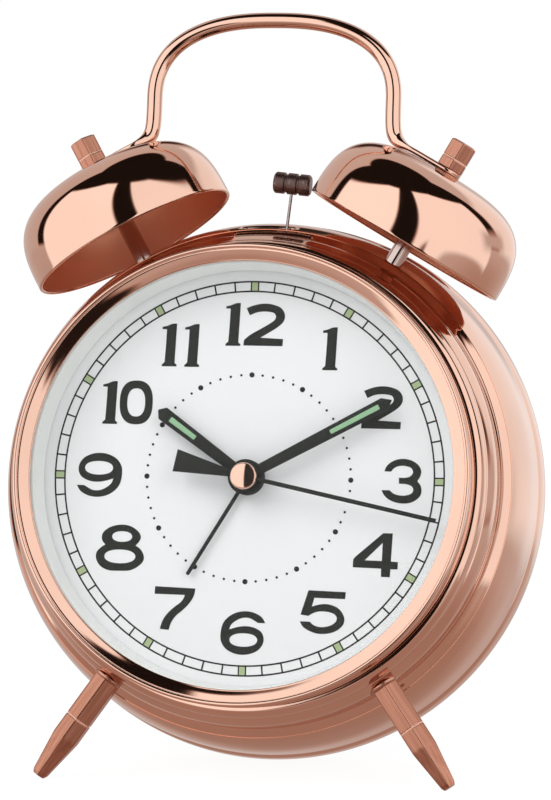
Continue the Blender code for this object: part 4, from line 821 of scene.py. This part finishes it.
def runs(start, *parts):
    """A closed outline from runs, each a flat list of x and y in turn.

    A run is a smooth line from the last corner through its points to the next, and a straight line closes it.
    """
    line, corner = [], start
    for part in (*parts, start):
        points = np.reshape(part, (-1, 2))
        line.append(flowing([corner, *points], 5 if len(points) > 1 else 1)[:-1])
        corner = points[-1]
    return np.concatenate(line)


def ring_of(half_width, half_height, power=2.2, x=0.0, y=0.0, steps=40):
    turns = np.arange(steps) * math.tau / steps
    return superellipse(half_width, half_height, power, turns) + (x, y)


DIGITS = {
    0: [ring_of(3.64, 4.75, 2.5), ring_of(1.97, 3.06, 2.4)],
    1: [runs(
        (1.51, 4.65), [0.54, 4.6, -0.54, 4.17, -1.66, 3.89], [-1.66, 3.41], [-0.68, 3.41],
        [-0.78, 0, -0.98, -3.74], [-1.6, -4.3], [-1.56, -4.65], [1.66, -4.65], [1.7, -4.27],
        [1.22, -3.9],
    )],
    2: [runs(
        (-4, 3.52),
        [-2.44, 4.15, 0, 4.58, 1.95, 4.34, 3.61, 3.62, 4.34, 2.56, 4.44, 1.5, 4.1, 0.64, 3.12, -0.32, 1.27,
         -1.56, -0.78, -2.81],
        [4.2, -3.05], [4.1, -4.59], [-4.44, -4.55], [-4.34, -3.34],
        [-3.41, -2.52, -0.49, -0.75, 1.46, 0.45, 2.34, 1.22, 2.49, 1.8, 2.15, 2.47, 1.07, 2.8, -0.49, 2.85,
         -1.85, 2.61, -3.22, 1.99],
    )],
    3: [runs(
        (-3.81, 2.01),
        [-3.43, 3.03, -2.28, 4.09, -0.74, 4.69, 0.94, 4.73, 2.55, 4.2, 3.7, 3.26, 4.16, 2.2, 3.97, 1.07, 3.36,
         0.05],
        [4.05, -0.81, 4.33, -1.8, 4.13, -3, 3.32, -3.9, 1.94, -4.62, 0.25, -4.81, -1.36, -4.55, -2.66, -4.02,
         -3.73, -3.08, -4.35, -2.02],
        [-2.55, -2.02],
        [-1.89, -2.59, -0.36, -3.08, 1.25, -3, 2.25, -2.55, 2.55, -1.8, 2.25, -1.15, 1.4, -0.74, 0.02, -0.57,
         -0.59, -0.56],
        [-0.63, 0.73],
        [0.94, 0.75, 1.86, 1.07, 2.32, 1.67, 2.36, 2.2, 1.94, 2.84, 1.02, 3.18, 0.02, 3.3, -1.13, 3.07, -1.9,
         2.58, -2.35, 1.98],
    )],
    4: [
        np.reshape([1.5, 4.69, 3.57, 4.69, 3.34, -1.34, 4.87, -1.42, 4.83, -3, 3.3, -3, 3.2, -4.7, 1.3, -4.66,
                    1.27, -2.9, -4.87, -2.74, -4.83, -1.08, -4.41, -0.51], (-1, 2)),
        np.reshape([1.46, 2.62, 1.38, -1.27, -2.34, -1.19], (-1, 2)),
    ],
    5: [runs(
        (-3.19, 4.61), [4.92, 4.38], [4.79, 2.9], [-1.86, 3.03], [-2.36, 1.13],
        [-1.02, 1.55, 0.48, 1.74, 2.07, 1.5, 3.41, 0.85, 4.41, -0.3, 4.79, -1.46, 4.58, -2.52, 3.83, -3.43,
         2.32, -4.29, 0.48, -4.65, -1.27, -4.58, -2.94, -4, -4.2, -3.18, -4.9, -2.07],
        [-2.69, -2.11],
        [-1.94, -2.77, -1.1, -3.1, 0.9, -3.1, 2.24, -2.6, 3, -1.87, 3.12, -1.13, 2.66, -0.47, 1.57, -0.02,
         0.23, 0.15, -1.1, 0.07, -2.27, -0.39, -3.03, -0.88],
        [-4.78, -0.63],
    )],
    6: [runs(
        (4.85, 2.2),
        [4.07, 3.4, 2.5, 4.3, 0.72, 4.65, -1.4, 4.35, -3.18, 3.4, -4.3, 2.1, -4.83, 0, -4.68, -1.95, -3.73,
         -3.4, -2.2, -4.3, -0.28, -4.7, 1.95, -4.4, 3.6, -3.5, 4.5, -2.06, 4.57, -0.96, 4.07, 0.19, 2.73,
         1.06, 0.72, 1.45, -1.17, 1.23, -3, 0.68],
        [-2.62, 1.67, -1.62, 2.54, -0.17, 3.2, 1.4, 3.18, 2.3, 2.76, 3.23, 2.2],
    ), ring_of(3.03, 1.45, x=0.17, y=-1.53)],
    7: [runs(
        (-4.37, 4.65), [4.45, 4.35],
        [4.37, 3.63, 3.95, 2.28, 3.1, 1, 1.65, -0.51, 0.5, -1.49, -0.27, -2.47, -0.73, -3.38, -1.07, -4.66],
        [-3.03, -4.51],
        [-2.72, -3.3, -2.19, -2.1, -1.27, -0.89, 0.11, 0.39, 1.5, 1.52, 2.03, 2.43, 2.19, 2.92],
        [-4.45, 3.03],
    )],
    8: [runs(
        (-3.28, 0.64),
        [-3.9, 1.32, -4.13, 2.22, -3.93, 3.05, -2.86, 4.11, -1.33, 4.75, 0.36, 4.98, 2.05, 4.71, 3.43, 3.96,
         4.27, 3.05, 4.49, 2.38, 4.19, 1.47, 3.39, 0.53],
        [4.42, -0.19, 5.11, -1.24, 5.31, -2.07, 5.11, -2.9, 4.27, -3.81, 2.5, -4.79, 0, -4.98, -2.86, -4.79,
         -4.24, -4.03, -5.05, -2.9, -5.3, -2, -5.08, -0.94, -4.09, 0.11],
    ), ring_of(2.19, 1.15, x=0.36, y=2.41), ring_of(3.41, 1.49, y=-1.89)],
}
# The nine is the six turned round, a little larger
DIGITS[9] = [-1.02 * loop for loop in DIGITS[6]]

# Where each digit stands: the digit, x and y
NUMERALS = (
    (1, -4.48, 33.19), (2, 2.33, 33.2), (1, 16.88, 28.23), (2, 28.57, 15.74), (3, 33.34, 0.03),
    (4, 28.2, -15.91), (5, 17.1, -28.41), (6, -0.1, -33.28), (7, -15.24, -28.37), (8, -27.63, -15.58),
    (9, -32.75, 0.04), (1, -30.99, 15.83), (0, -25.24, 15.92), (1, -18.34, 28.52), (1, -13.37, 28.49),
)


def block(width, height, radius, turn, shift=0.0):
    """A flat box on the dial, its height along a radius at a clockwise angle."""
    x = np.array((-1, 1, 1, -1)) * width / 2 + shift
    y = np.array((-1, -1, 1, 1)) * height / 2 + radius
    sin, cos = math.sin(turn), math.cos(turn)
    outline = np.column_stack((x * cos + y * sin, y * cos - x * sin))
    grid = np.stack([np.column_stack((outline, np.full(4, z))) for z in (PRINT_LOW, PRINT_HIGH)])
    points, faces = skin(grid)
    return points, faces + [[0, 1, 2, 3], [4, 5, 6, 7]]


def printed_ring(inner, outer, steps=ROUND_STEPS):
    return turned(four_sided(inner, outer, PRINT_LOW, PRINT_HIGH), steps)


def build_print():
    """Numerals, minute track, hour blocks and the ring of dots: print that stands a hair above the dial."""
    digits = [shifted(cut_plate(DIGITS[digit], PRINT_LOW, PRINT_HIGH), x, y) for digit, x, y in NUMERALS]
    trim("dial_numerals", "clock_body", digits, FACE, INK)

    low, high = TRACK_RADII
    middle, height = (low + high) / 2, high - low
    lines = [printed_ring(radius - TRACK_LINE / 2, radius + TRACK_LINE / 2) for radius in TRACK_RADII]
    greens, dots = [], []
    for minute in range(60):
        turn = math.tau * minute / 60
        dot = printed_ring(0, MINUTE_DOT_RADIUS if minute % 5 else HOUR_DOT_RADIUS, DOT_STEPS)
        dots.append(shifted(dot, DOT_RING_RADIUS * math.sin(turn), DOT_RING_RADIUS * math.cos(turn)))
        if minute % 5:
            lines.append(block(TRACK_LINE, height, middle, turn))
            continue
        greens.append(block(HOUR_BLOCK_WIDTH, height - TRACK_LINE, middle, turn))
        for side in (-1, 1):
            shift = side * (HOUR_BLOCK_WIDTH + HOUR_BLOCK_BORDER) / 2
            lines.append(block(HOUR_BLOCK_BORDER, height, middle, turn, shift))
    trim("minute_track", "clock_body", lines, FACE, INK)
    trim("hour_blocks", "clock_body", greens, FACE, HOUR_LUME)
    trim("dot_ring", "clock_body", dots, FACE, INK)


# Hands


def sword(size):
    """Both sides of a blade from one row of shares of its length and half width."""
    length, width = size
    right = np.array([(width / 2 * half, length * along) for along, half in SWORD_SHARES])
    return np.concatenate((right, right[::-1] * (-1, 1)))


def hand_surfaces(name, blades, boss):
    """A stamped hand: its blades and its boss overlap, and the boss has its bore."""
    low = HAND_HEIGHTS[name]
    high = low + HAND_THICKNESS
    rim = softened(four_sided(HAND_BORES[name], boss, low, high), HAND_EDGE, 2)
    surfaces = [turned(rim, SMALL_STEPS)]
    low, high = low + BLADE_INSET, high - BLADE_INSET
    return surfaces + [cut_plate([blade], low, high, HAND_EDGE) for blade in blades]


def started(outline, bore):
    """A blade's outline that starts at the bore's edge and not in the middle."""
    outline = np.array(outline, float)
    near = np.abs(outline[:, 1]) < bore
    outline[near, 1] = bore + BLADE_START
    return outline


def build_hands():
    """Alarm, hour, minute and seconds hands, the two inlays and the cap."""
    places = {name: flat(turn) for name, turn in HAND_TURNS.items()}
    length, width = ALARM_SIZE
    tip = np.linspace(0, math.pi, 9)
    needle = np.column_stack((width / 2 * np.cos(tip), length - width / 2 + width / 2 * np.sin(tip)))
    needle = np.concatenate(([(width / 2, ALARM_ROOT)], needle, [(-width / 2, ALARM_ROOT)]))
    fine("alarm_hand", hand_surfaces("alarm", [needle], BOSS_RADIUS), places["alarm"], INK)

    for name, size in (("hour", HOUR_SIZE), ("minute", MINUTE_SIZE)):
        blade = started(sword(size), HAND_BORES[name])
        fine(f"{name}_hand", hand_surfaces(name, [blade], BOSS_RADIUS), places[name], INK)
        length, width, gap = HAND_LUMES[name]
        high, half = size[0] - gap, width / 2
        low, narrow = high - length, half * LUME_TAPER
        inlay = softened([(narrow, low), (half, high), (-half, high), (-narrow, low)], LUME_CUT, 3)
        top = HAND_HEIGHTS[name] + HAND_THICKNESS
        paste = cut_plate([inlay], top - LUME_SINK, top + LUME_PROUD, LUME_EDGE)
        trim(f"{name}_lume", f"{name}_hand_body", [paste], places[name], LUME)

    length, width = SECOND_SIZE
    tail, tail_width = SECOND_TAIL
    root, half, tail_half = SECOND_ROOT, width / 2, tail_width / 2
    blades = [
        np.array([(half, root), (half, length), (-half, length), (-half, root)]),
        np.array([(-half, -root), (-tail_half, -tail), (tail_half, -tail), (half, -root)]),
    ]
    fine("second_hand", hand_surfaces("second", blades, CAP_RADIUS), places["second"], INK)

    flat_radius = CAP_RADIUS - CAP_EDGE
    top = CAP_LOW + CAP_HEIGHT - CAP_CROWN
    turns, crown = np.linspace(0, CAP_EDGE_TURN, 7), np.linspace(1, 0, 12)
    edge = np.column_stack((flat_radius + CAP_EDGE * np.cos(turns),
                            top - CAP_EDGE + CAP_EDGE * np.sin(turns)))
    dome = np.column_stack((flat_radius * crown, top + CAP_CROWN * (1 - crown ** 2)))
    dome = np.concatenate(([(0, CAP_LOW), (CAP_RADIUS, CAP_LOW)], edge, dome))
    cuts = np.zeros(len(dome))
    cuts[1] = 0.1
    fine_turned("hand_cap", dome, cuts, places["second"], PLATE, CAP_STEPS, 3)


# Bells, handle, legs and hammer


def bell_dome(radius, height, steps=44):
    """A dome from its rim to the edge of its hole: a quarter of a superellipse, dense where it bends."""
    dome = superellipse(radius, height, BELL_POWER, np.linspace(0, math.pi / 2, steps))
    dome[-1] = (BELL_HOLE, height)
    return dome


def hexagon(turn):
    """A hexagon with rounded corners that is one unit across its flats, turned about its middle."""
    turns = turn + np.arange(6) * math.tau / 6
    corner = 1 / math.sqrt(3)
    return softened(np.column_stack((np.cos(turns), np.sin(turns))) * corner, HEX_CUT, 3)


def build_bells():
    """Bells, posts, washers and cap nuts, left and right."""
    for side, word in SIDES:
        place = radial(side * BELL_TURN, BELL_DEPTH)
        outer = bell_dome(BELL_RADIUS, BELL_HEIGHT)
        inner = bell_dome(BELL_RADIUS - BELL_WALL, BELL_HEIGHT - BELL_WALL)
        middle = BELL_RADIUS - BELL_WALL / 2
        roll = np.linspace(math.pi, math.tau, 9)
        rim = np.column_stack((middle + BELL_WALL / 2 * np.cos(roll),
                               BELL_WALL * BELL_ROLL * (1 + np.sin(roll))))
        outside = np.concatenate((rim, outer[outer[:, 1] > BELL_WALL / 2]))
        inside = np.concatenate((rim[:1], inner[inner[:, 1] > BELL_WALL / 2], outer[-1:]))
        shells = [turned(line + (0, BELL_RIM_REACH), closed=False) for line in (outside, inside)]
        fine(f"bell_{word}", shells, place, PLATE, BELL_INSIDE)

        post = [(0, STUD_LOW), (STUD_RADIUS, STUD_LOW), (STUD_RADIUS, POST_LOW), (POST_RADIUS, POST_LOW),
                (POST_RADIUS, POST_HIGH), (STUD_RADIUS, POST_HIGH), (STUD_RADIUS, STUD_HIGH), (0, STUD_HIGH)]
        cuts = (0, 0.2, 0.05, 0.2, 0.2, 0.05, 0.2, 0)
        fine_turned(f"bell_post_{word}", post, cuts, place, POST_STEEL_PAINTED_REFLECTION, SMALL_STEPS)
        radius, low, high = WASHER
        washer = four_sided(BELL_HOLE, radius, low, high)
        washer[2] = (radius * WASHER_TAPER, high)
        fine_turned(f"bell_washer_{word}", washer, (0, 0.1, 0.25, 0), place, SATIN_PLATE, SMALL_STEPS)

        low, high = NUT_GROOVE
        wide, waist = NUT_ACROSS, NUT_ACROSS - 2 * NUT_GROOVE_DEPTH
        profile = [(0, NUT_LOW), (wide, NUT_LOW), (wide, low), (waist, low + GROOVE_SLOPE),
                   (waist, high - GROOVE_SLOPE), (wide, high), (wide, NUT_HIGH - NUT_CHAMFER / 2),
                   (wide - 2 * NUT_CHAMFER, NUT_HIGH), (0, NUT_HIGH)]
        cuts = (0, 0.12, 0.08, 0.03, 0.03, 0.08, 0.1, 0.1, 0)
        nut = drawn_out(hexagon(NUT_TURN), softened(profile, cuts, 3))
        fine(f"cap_nut_{word}", [nut], place, drawn_bar(f"nut_bar_{word}", place, NUT_GROOVE))


def handle_line():
    """Half of the handle's centre line, from its apex to its tab's end, how flat it is, and how far along.

    The bend is a cubic Bezier curve from the foot of the arch to the root of the tab.
    """
    turns = np.linspace(math.pi / 2, 0, 40)
    arch = superellipse(ARCH_HALF_WIDTH, ARCH_RISE, ARCH_POWER, turns) + (0, ARCH_SPRING)
    outwards = np.array((math.sin(BELL_TURN), math.cos(BELL_TURN)))
    along = np.array((math.cos(BELL_TURN), -math.sin(BELL_TURN)))
    seat = outwards * TAB_REACH
    start, end = arch[-1], seat - along * TAB_ROOT
    lead, trail = start - (0, BEND_DROP), end - along * BEND_REACH
    t = np.linspace(0, 1, 30)[1:, None]
    bend = start * (1 - t) ** 3 + 3 * lead * t * (1 - t) ** 2 + 3 * trail * t ** 2 * (1 - t) + end * t ** 3
    shares = np.sin(np.linspace(0, math.pi / 2, 22))[1:, None]
    tab = end + along * (TAB_ROOT + TAB_TIP) * shares
    line = np.concatenate((arch, bend, tab))
    from_seat = (line - seat) @ along
    flatness = np.clip((from_seat + FLATTEN_FROM) / FLATTEN_LENGTH, 0, 1)
    flatness[: len(arch)] = 0
    return line, flatness ** 2 * (3 - 2 * flatness), from_seat


def build_handle():
    """The rod follows its centre line; its section turns from a circle into a flat tab with a round end.

    A section is a superellipse in the plane square to the line: half thickness across the line in the
    face's plane, half width along the depth.
    """
    half, flatness, from_seat = handle_line()
    line = np.concatenate((half[:0:-1] * (-1, 1), half))
    flatness = np.concatenate((flatness[:0:-1], flatness))
    from_seat = np.concatenate((from_seat[:0:-1], from_seat))
    ahead = np.gradient(line, axis=0)
    ahead /= np.linalg.norm(ahead, axis=1, keepdims=True)
    across = np.column_stack((-ahead[:, 1], ahead[:, 0]))
    thick = ROD_RADIUS + (TAB_HALF_THICKNESS - ROD_RADIUS) * flatness
    wide = ROD_RADIUS + (TAB_HALF_WIDTH - ROD_RADIUS) * flatness
    end_round = np.sqrt(np.clip(1 - (np.clip(from_seat, 0, None) / TAB_TIP) ** 2, 0, 1))
    wide = np.where(flatness > 0.99, wide * np.where(from_seat > 0, end_round, 1), wide)
    turns = np.arange(40) * math.tau / 40
    power = 2 + TAB_SQUARENESS * flatness
    section = superellipse(wide[:, None], thick[:, None], power[:, None], turns)
    plane = line[:, None] + across[:, None] * section[..., 1:]
    grid = np.concatenate((plane, section[..., :1] - BELL_DEPTH), axis=-1)
    fine("carry_handle", [skin(grid)], FACE, PLATE)


def build_legs():
    """Legs with their studs and flanges, left and right."""
    for side, word in SIDES:
        place = radial(math.pi - side * LEG_TURN, LEG_DEPTH)
        radius, low, high = FLANGE
        disc = [(FLANGE_HOLE, low), (radius, low), (radius, low + FLANGE_EDGE), (radius * FLANGE_TAPER, high),
                (FLANGE_HOLE, high)]
        cuts = (0, 0.1, 0.15, 0.15, 0)
        fine_turned(f"leg_flange_{word}", disc, cuts, place, SATIN_PLATE, SMALL_STEPS)

        low, high = groove = (LEG_GROOVE, LEG_GROOVE + LEG_GROOVE_WIDTH)
        wide, waist = LEG_ACROSS, LEG_ACROSS - 2 * LEG_GROOVE_DEPTH
        profile = [(0, LEG_LOW), (wide, LEG_LOW), (wide, low), (waist, low + GROOVE_SLOPE),
                   (waist, high - GROOVE_SLOPE), (wide, high), (wide, LEG_TAPER),
                   (LEG_TIP_ACROSS, LEG_TIP - LEG_TIP_CHAMFER), (LEG_TIP_ACROSS - LEG_TIP_CHAMFER, LEG_TIP),
                   (0, LEG_TIP)]
        cuts = (0, 0.2, 0.1, 0.03, 0.03, 0.1, 0.4, 0.2, 0.1, 0)
        leg = drawn_out(hexagon(LEG_TURNS[word]), softened(profile, cuts, 3))
        stud = turned(four_sided(0, *LEG_STUD, LEG_LOW + LEG_STUD_LAP), SMALL_STEPS)
        fine(f"leg_{word}", [leg, stud], place, drawn_bar(f"leg_bar_{word}", place, groove))


def build_hammer():
    """The hammer's wire, and its head with two grooves."""
    sin, cos = math.sin(HAMMER_LEAN), math.cos(HAMMER_LEAN)
    upright = inside_face((0, PIVOT_RISE, -BELL_DEPTH), ((cos, -sin, 0), (0, 0, -1), (sin, cos, 0)))
    wire = four_sided(0, WIRE_RADIUS, WIRE_LOW, HAMMER_REACH)
    fine_turned("hammer_wire", wire, (0, 0.1, 0.1, 0), upright, STEEL, WIRE_STEPS)

    spot = (HAMMER_REACH * sin, PIVOT_RISE + HAMMER_REACH * cos, -BELL_DEPTH)
    across = inside_face(spot, ((sin, cos, 0), (0, 0, 1), (cos, -sin, 0)))
    half, third = HEAD_LENGTH / 2, HEAD_LENGTH / 6
    line = [(0, -half), (HEAD_RADIUS - HEAD_CHAMFER, -half), (HEAD_RADIUS, -half + HEAD_CHAMFER)]
    for centre in (-third, third):
        line += [(HEAD_RADIUS - HEAD_GROOVE * depth, centre + HEAD_GROOVE * step)
                 for step, depth in HEAD_GROOVE_SHAPE]
    line += [(HEAD_RADIUS, half - HEAD_CHAMFER), (HEAD_RADIUS - HEAD_CHAMFER, half), (0, half)]
    cuts = [0] + [0.08] * (len(line) - 2) + [0]
    fine_turned("hammer_head", line, cuts, across, GUNMETAL, CAP_STEPS, 3)


# Floor, light and camera

VIEW_AZIMUTH = math.radians(10.4)
VIEW_ELEVATION = math.radians(5.45)
VIEW_DISTANCE_M = 1.12
VIEW_TARGET = (5.8, 16.8)
VIEW_LENS = 156.3
SENSOR_HEIGHT = 24.0

FLOOR_HALF_M = 4.0
SWEEP_GLOW = 1.1
SWEEP_SHARE = 0.85
PLAIN_LIGHT = 0.6
WARM_TINT = (1.0, 0.66, 0.54)
WARM_BELOW = (0.35, 0.8)
LAMPS = (
    # name, azimuth and elevation in degrees, distance and size in metres, watts
    ("key", -38.0, 42.0, 1.3, 0.9, 7.6),
    ("fill", 48.0, 30.0, 1.5, 1.0, 4.8),
)

WALL_LIGHT = 0.64
BOX_SHOULDER = 38.0
STUDIO = (
    # azimuth from, to, elevation from, to, fall of the top beyond the shoulder, softness, strength
    (-200, 200, -100, -12, 0, 2, 0.6),
    (-200, 200, -120, -27, 0, 12, 0.41),
    (-115, 113, -11, 100, 0, 1.5, 0.012),
    (-200, 200, 62, 100, 0, 1.5, 0.012),
    (-103, -18, -12, 55, 0.24, 2, 1.25),
    (6, 96, -13, 55, 0.24, 2, 1.14),
    (112, 163, -12, 34, 0, 4, 1),
    (171, 200, 13, 27, 0, 4, 0.03),
    (-200, -171, 13, 27, 0, 4, 0.03),
    (1, 18, -23, -2, 0, 2, 0.02),
    (84, 121, -12, 8, 0, 7, 0.62),
)


def towards(azimuth, elevation):
    """The direction at an azimuth, counted from minus y towards x, and at an elevation."""
    level = math.cos(elevation)
    return np.array((math.sin(azimuth) * level, -math.cos(azimuth) * level, math.sin(elevation)))


def view_axes():
    """The camera's right, up and back directions."""
    right = np.array((math.cos(VIEW_AZIMUTH), math.sin(VIEW_AZIMUTH), 0.0))
    back = towards(VIEW_AZIMUTH, VIEW_ELEVATION)
    return right, np.cross(back, right), back


def build_camera():
    right, up, back = view_axes()
    data = bpy.data.cameras.new("camera")
    data.sensor_fit = "VERTICAL"
    data.sensor_height = SENSOR_HEIGHT
    data.lens = VIEW_LENS
    target = FACE[0] + right * VIEW_TARGET[0] * MM + up * VIEW_TARGET[1] * MM
    columns = np.column_stack((right, up, back, target + back * VIEW_DISTANCE_M))
    camera = linked("camera", data)
    camera.matrix_world = Matrix([*columns.tolist(), (0, 0, 0, 1)])
    bpy.context.scene.camera = camera


def build_world():
    """White to the camera, a studio to the metal, and a plain level for the light.

    The studio, in degrees from the camera's direction: a dark front and ceiling with two wide soft boxes left
    and right of the camera, mid-bright walls behind with one more box on the right, and a darker floor.
    """
    world = bpy.data.worlds.new("studio")
    bpy.context.scene.world = world
    world.use_nodes = True
    graph = Graph(world.node_tree)
    right, up, back = view_axes()
    ahead = np.array((back[0], back[1], 0.0)) / np.linalg.norm(back[:2])
    direction = graph.node("TexCoord", out="Generated")
    side = graph.dot(direction, tuple(right))
    front = graph.dot(direction, tuple(ahead))
    height = graph.dot(direction, (0.0, 0.0, 1.0))
    azimuth = graph.math("ARCTAN2", side, front) * math.degrees(1)
    elevation = graph.math("ARCSINE", height) * math.degrees(1)
    light = graph.node("Value")
    light.socket.default_value = WALL_LIGHT
    beyond = graph.math("MAXIMUM", graph.math("ABSOLUTE", azimuth) - BOX_SHOULDER, 0.0)
    for low, high, bottom, top, fall, soft, strength in STUDIO:
        level = elevation + beyond * fall if fall else elevation
        mask = graph.window(azimuth, low, high, soft) * graph.window(level, bottom, top, soft)
        light = light + (strength - light) * mask
    warm = graph.mix(graph.step(light, *WARM_BELOW), WARM_TINT, (1.0, 1.0, 1.0))
    seen, glossy, through = graph.rays("Camera", "Glossy", "Transmission")
    seen = seen + through
    background = world.node_tree.nodes["Background"]
    graph.feed(background.inputs["Color"], graph.mix(glossy, (1.0, 1.0, 1.0), warm))
    unseen = glossy * light + (1 - glossy) * PLAIN_LIGHT
    graph.feed(background.inputs["Strength"], seen + (1 - seen) * unseen)


def build_lamp(name, azimuth, elevation, distance_m, size_m, power):
    """A soft square lamp that looks at the clock and doesn't show in the metal."""
    back = towards(math.radians(azimuth), math.radians(elevation))
    data = bpy.data.lights.new(name, "AREA")
    data.shape = "SQUARE"
    data.size = size_m
    data.energy = power
    lamp = linked(name, data)
    spot = Vector(FACE[0] + back * distance_m)
    lamp.matrix_world = Matrix.Translation(spot) @ Vector(back).to_track_quat("Z", "Y").to_matrix().to_4x4()
    lamp.visible_glossy = False


def build_floor():
    """A white sweep that keeps a faint shadow: mostly its own white, and a share of the light that it gets.

    The metal doesn't see it, but the studio's own floor.
    """
    mesh = bpy.data.meshes.new("floor")
    corners = [(x * FLOOR_HALF_M, y * FLOOR_HALF_M, 0) for x, y in ((-1, -1), (1, -1), (1, 1), (-1, 1))]
    mesh.from_pydata(corners, [], [(0, 1, 2, 3)])
    floor = linked("floor", mesh)
    material = bpy.data.materials.new("white_sweep")
    material.use_nodes = True
    graph = Graph(material.node_tree)
    paper = graph.node("BsdfDiffuse", {}, {"Color": (0.9, 0.9, 0.9)})
    camera, glossy, through = graph.rays("Camera", "Glossy", "Transmission")
    white = graph.node("Emission", {}, {"Color": (1.0, 1.0, 1.0), "Strength": SWEEP_GLOW})
    seen = graph.node("MixShader", {}, {0: (camera + through) * SWEEP_SHARE, 1: paper, 2: white})
    graph.show(graph.node("MixShader", {}, {0: glossy, 1: seen, 2: graph.node("BsdfTransparent")}))
    mesh.materials.append(material)


dress_nodes()
build_case()
build_face()
build_print()
build_hands()
build_bells()
build_handle()
build_legs()
build_hammer()
build_floor()
build_world()
for lamp in LAMPS:
    build_lamp(*lamp)
build_camera()

bpy.context.scene.view_settings.view_transform = "Standard"
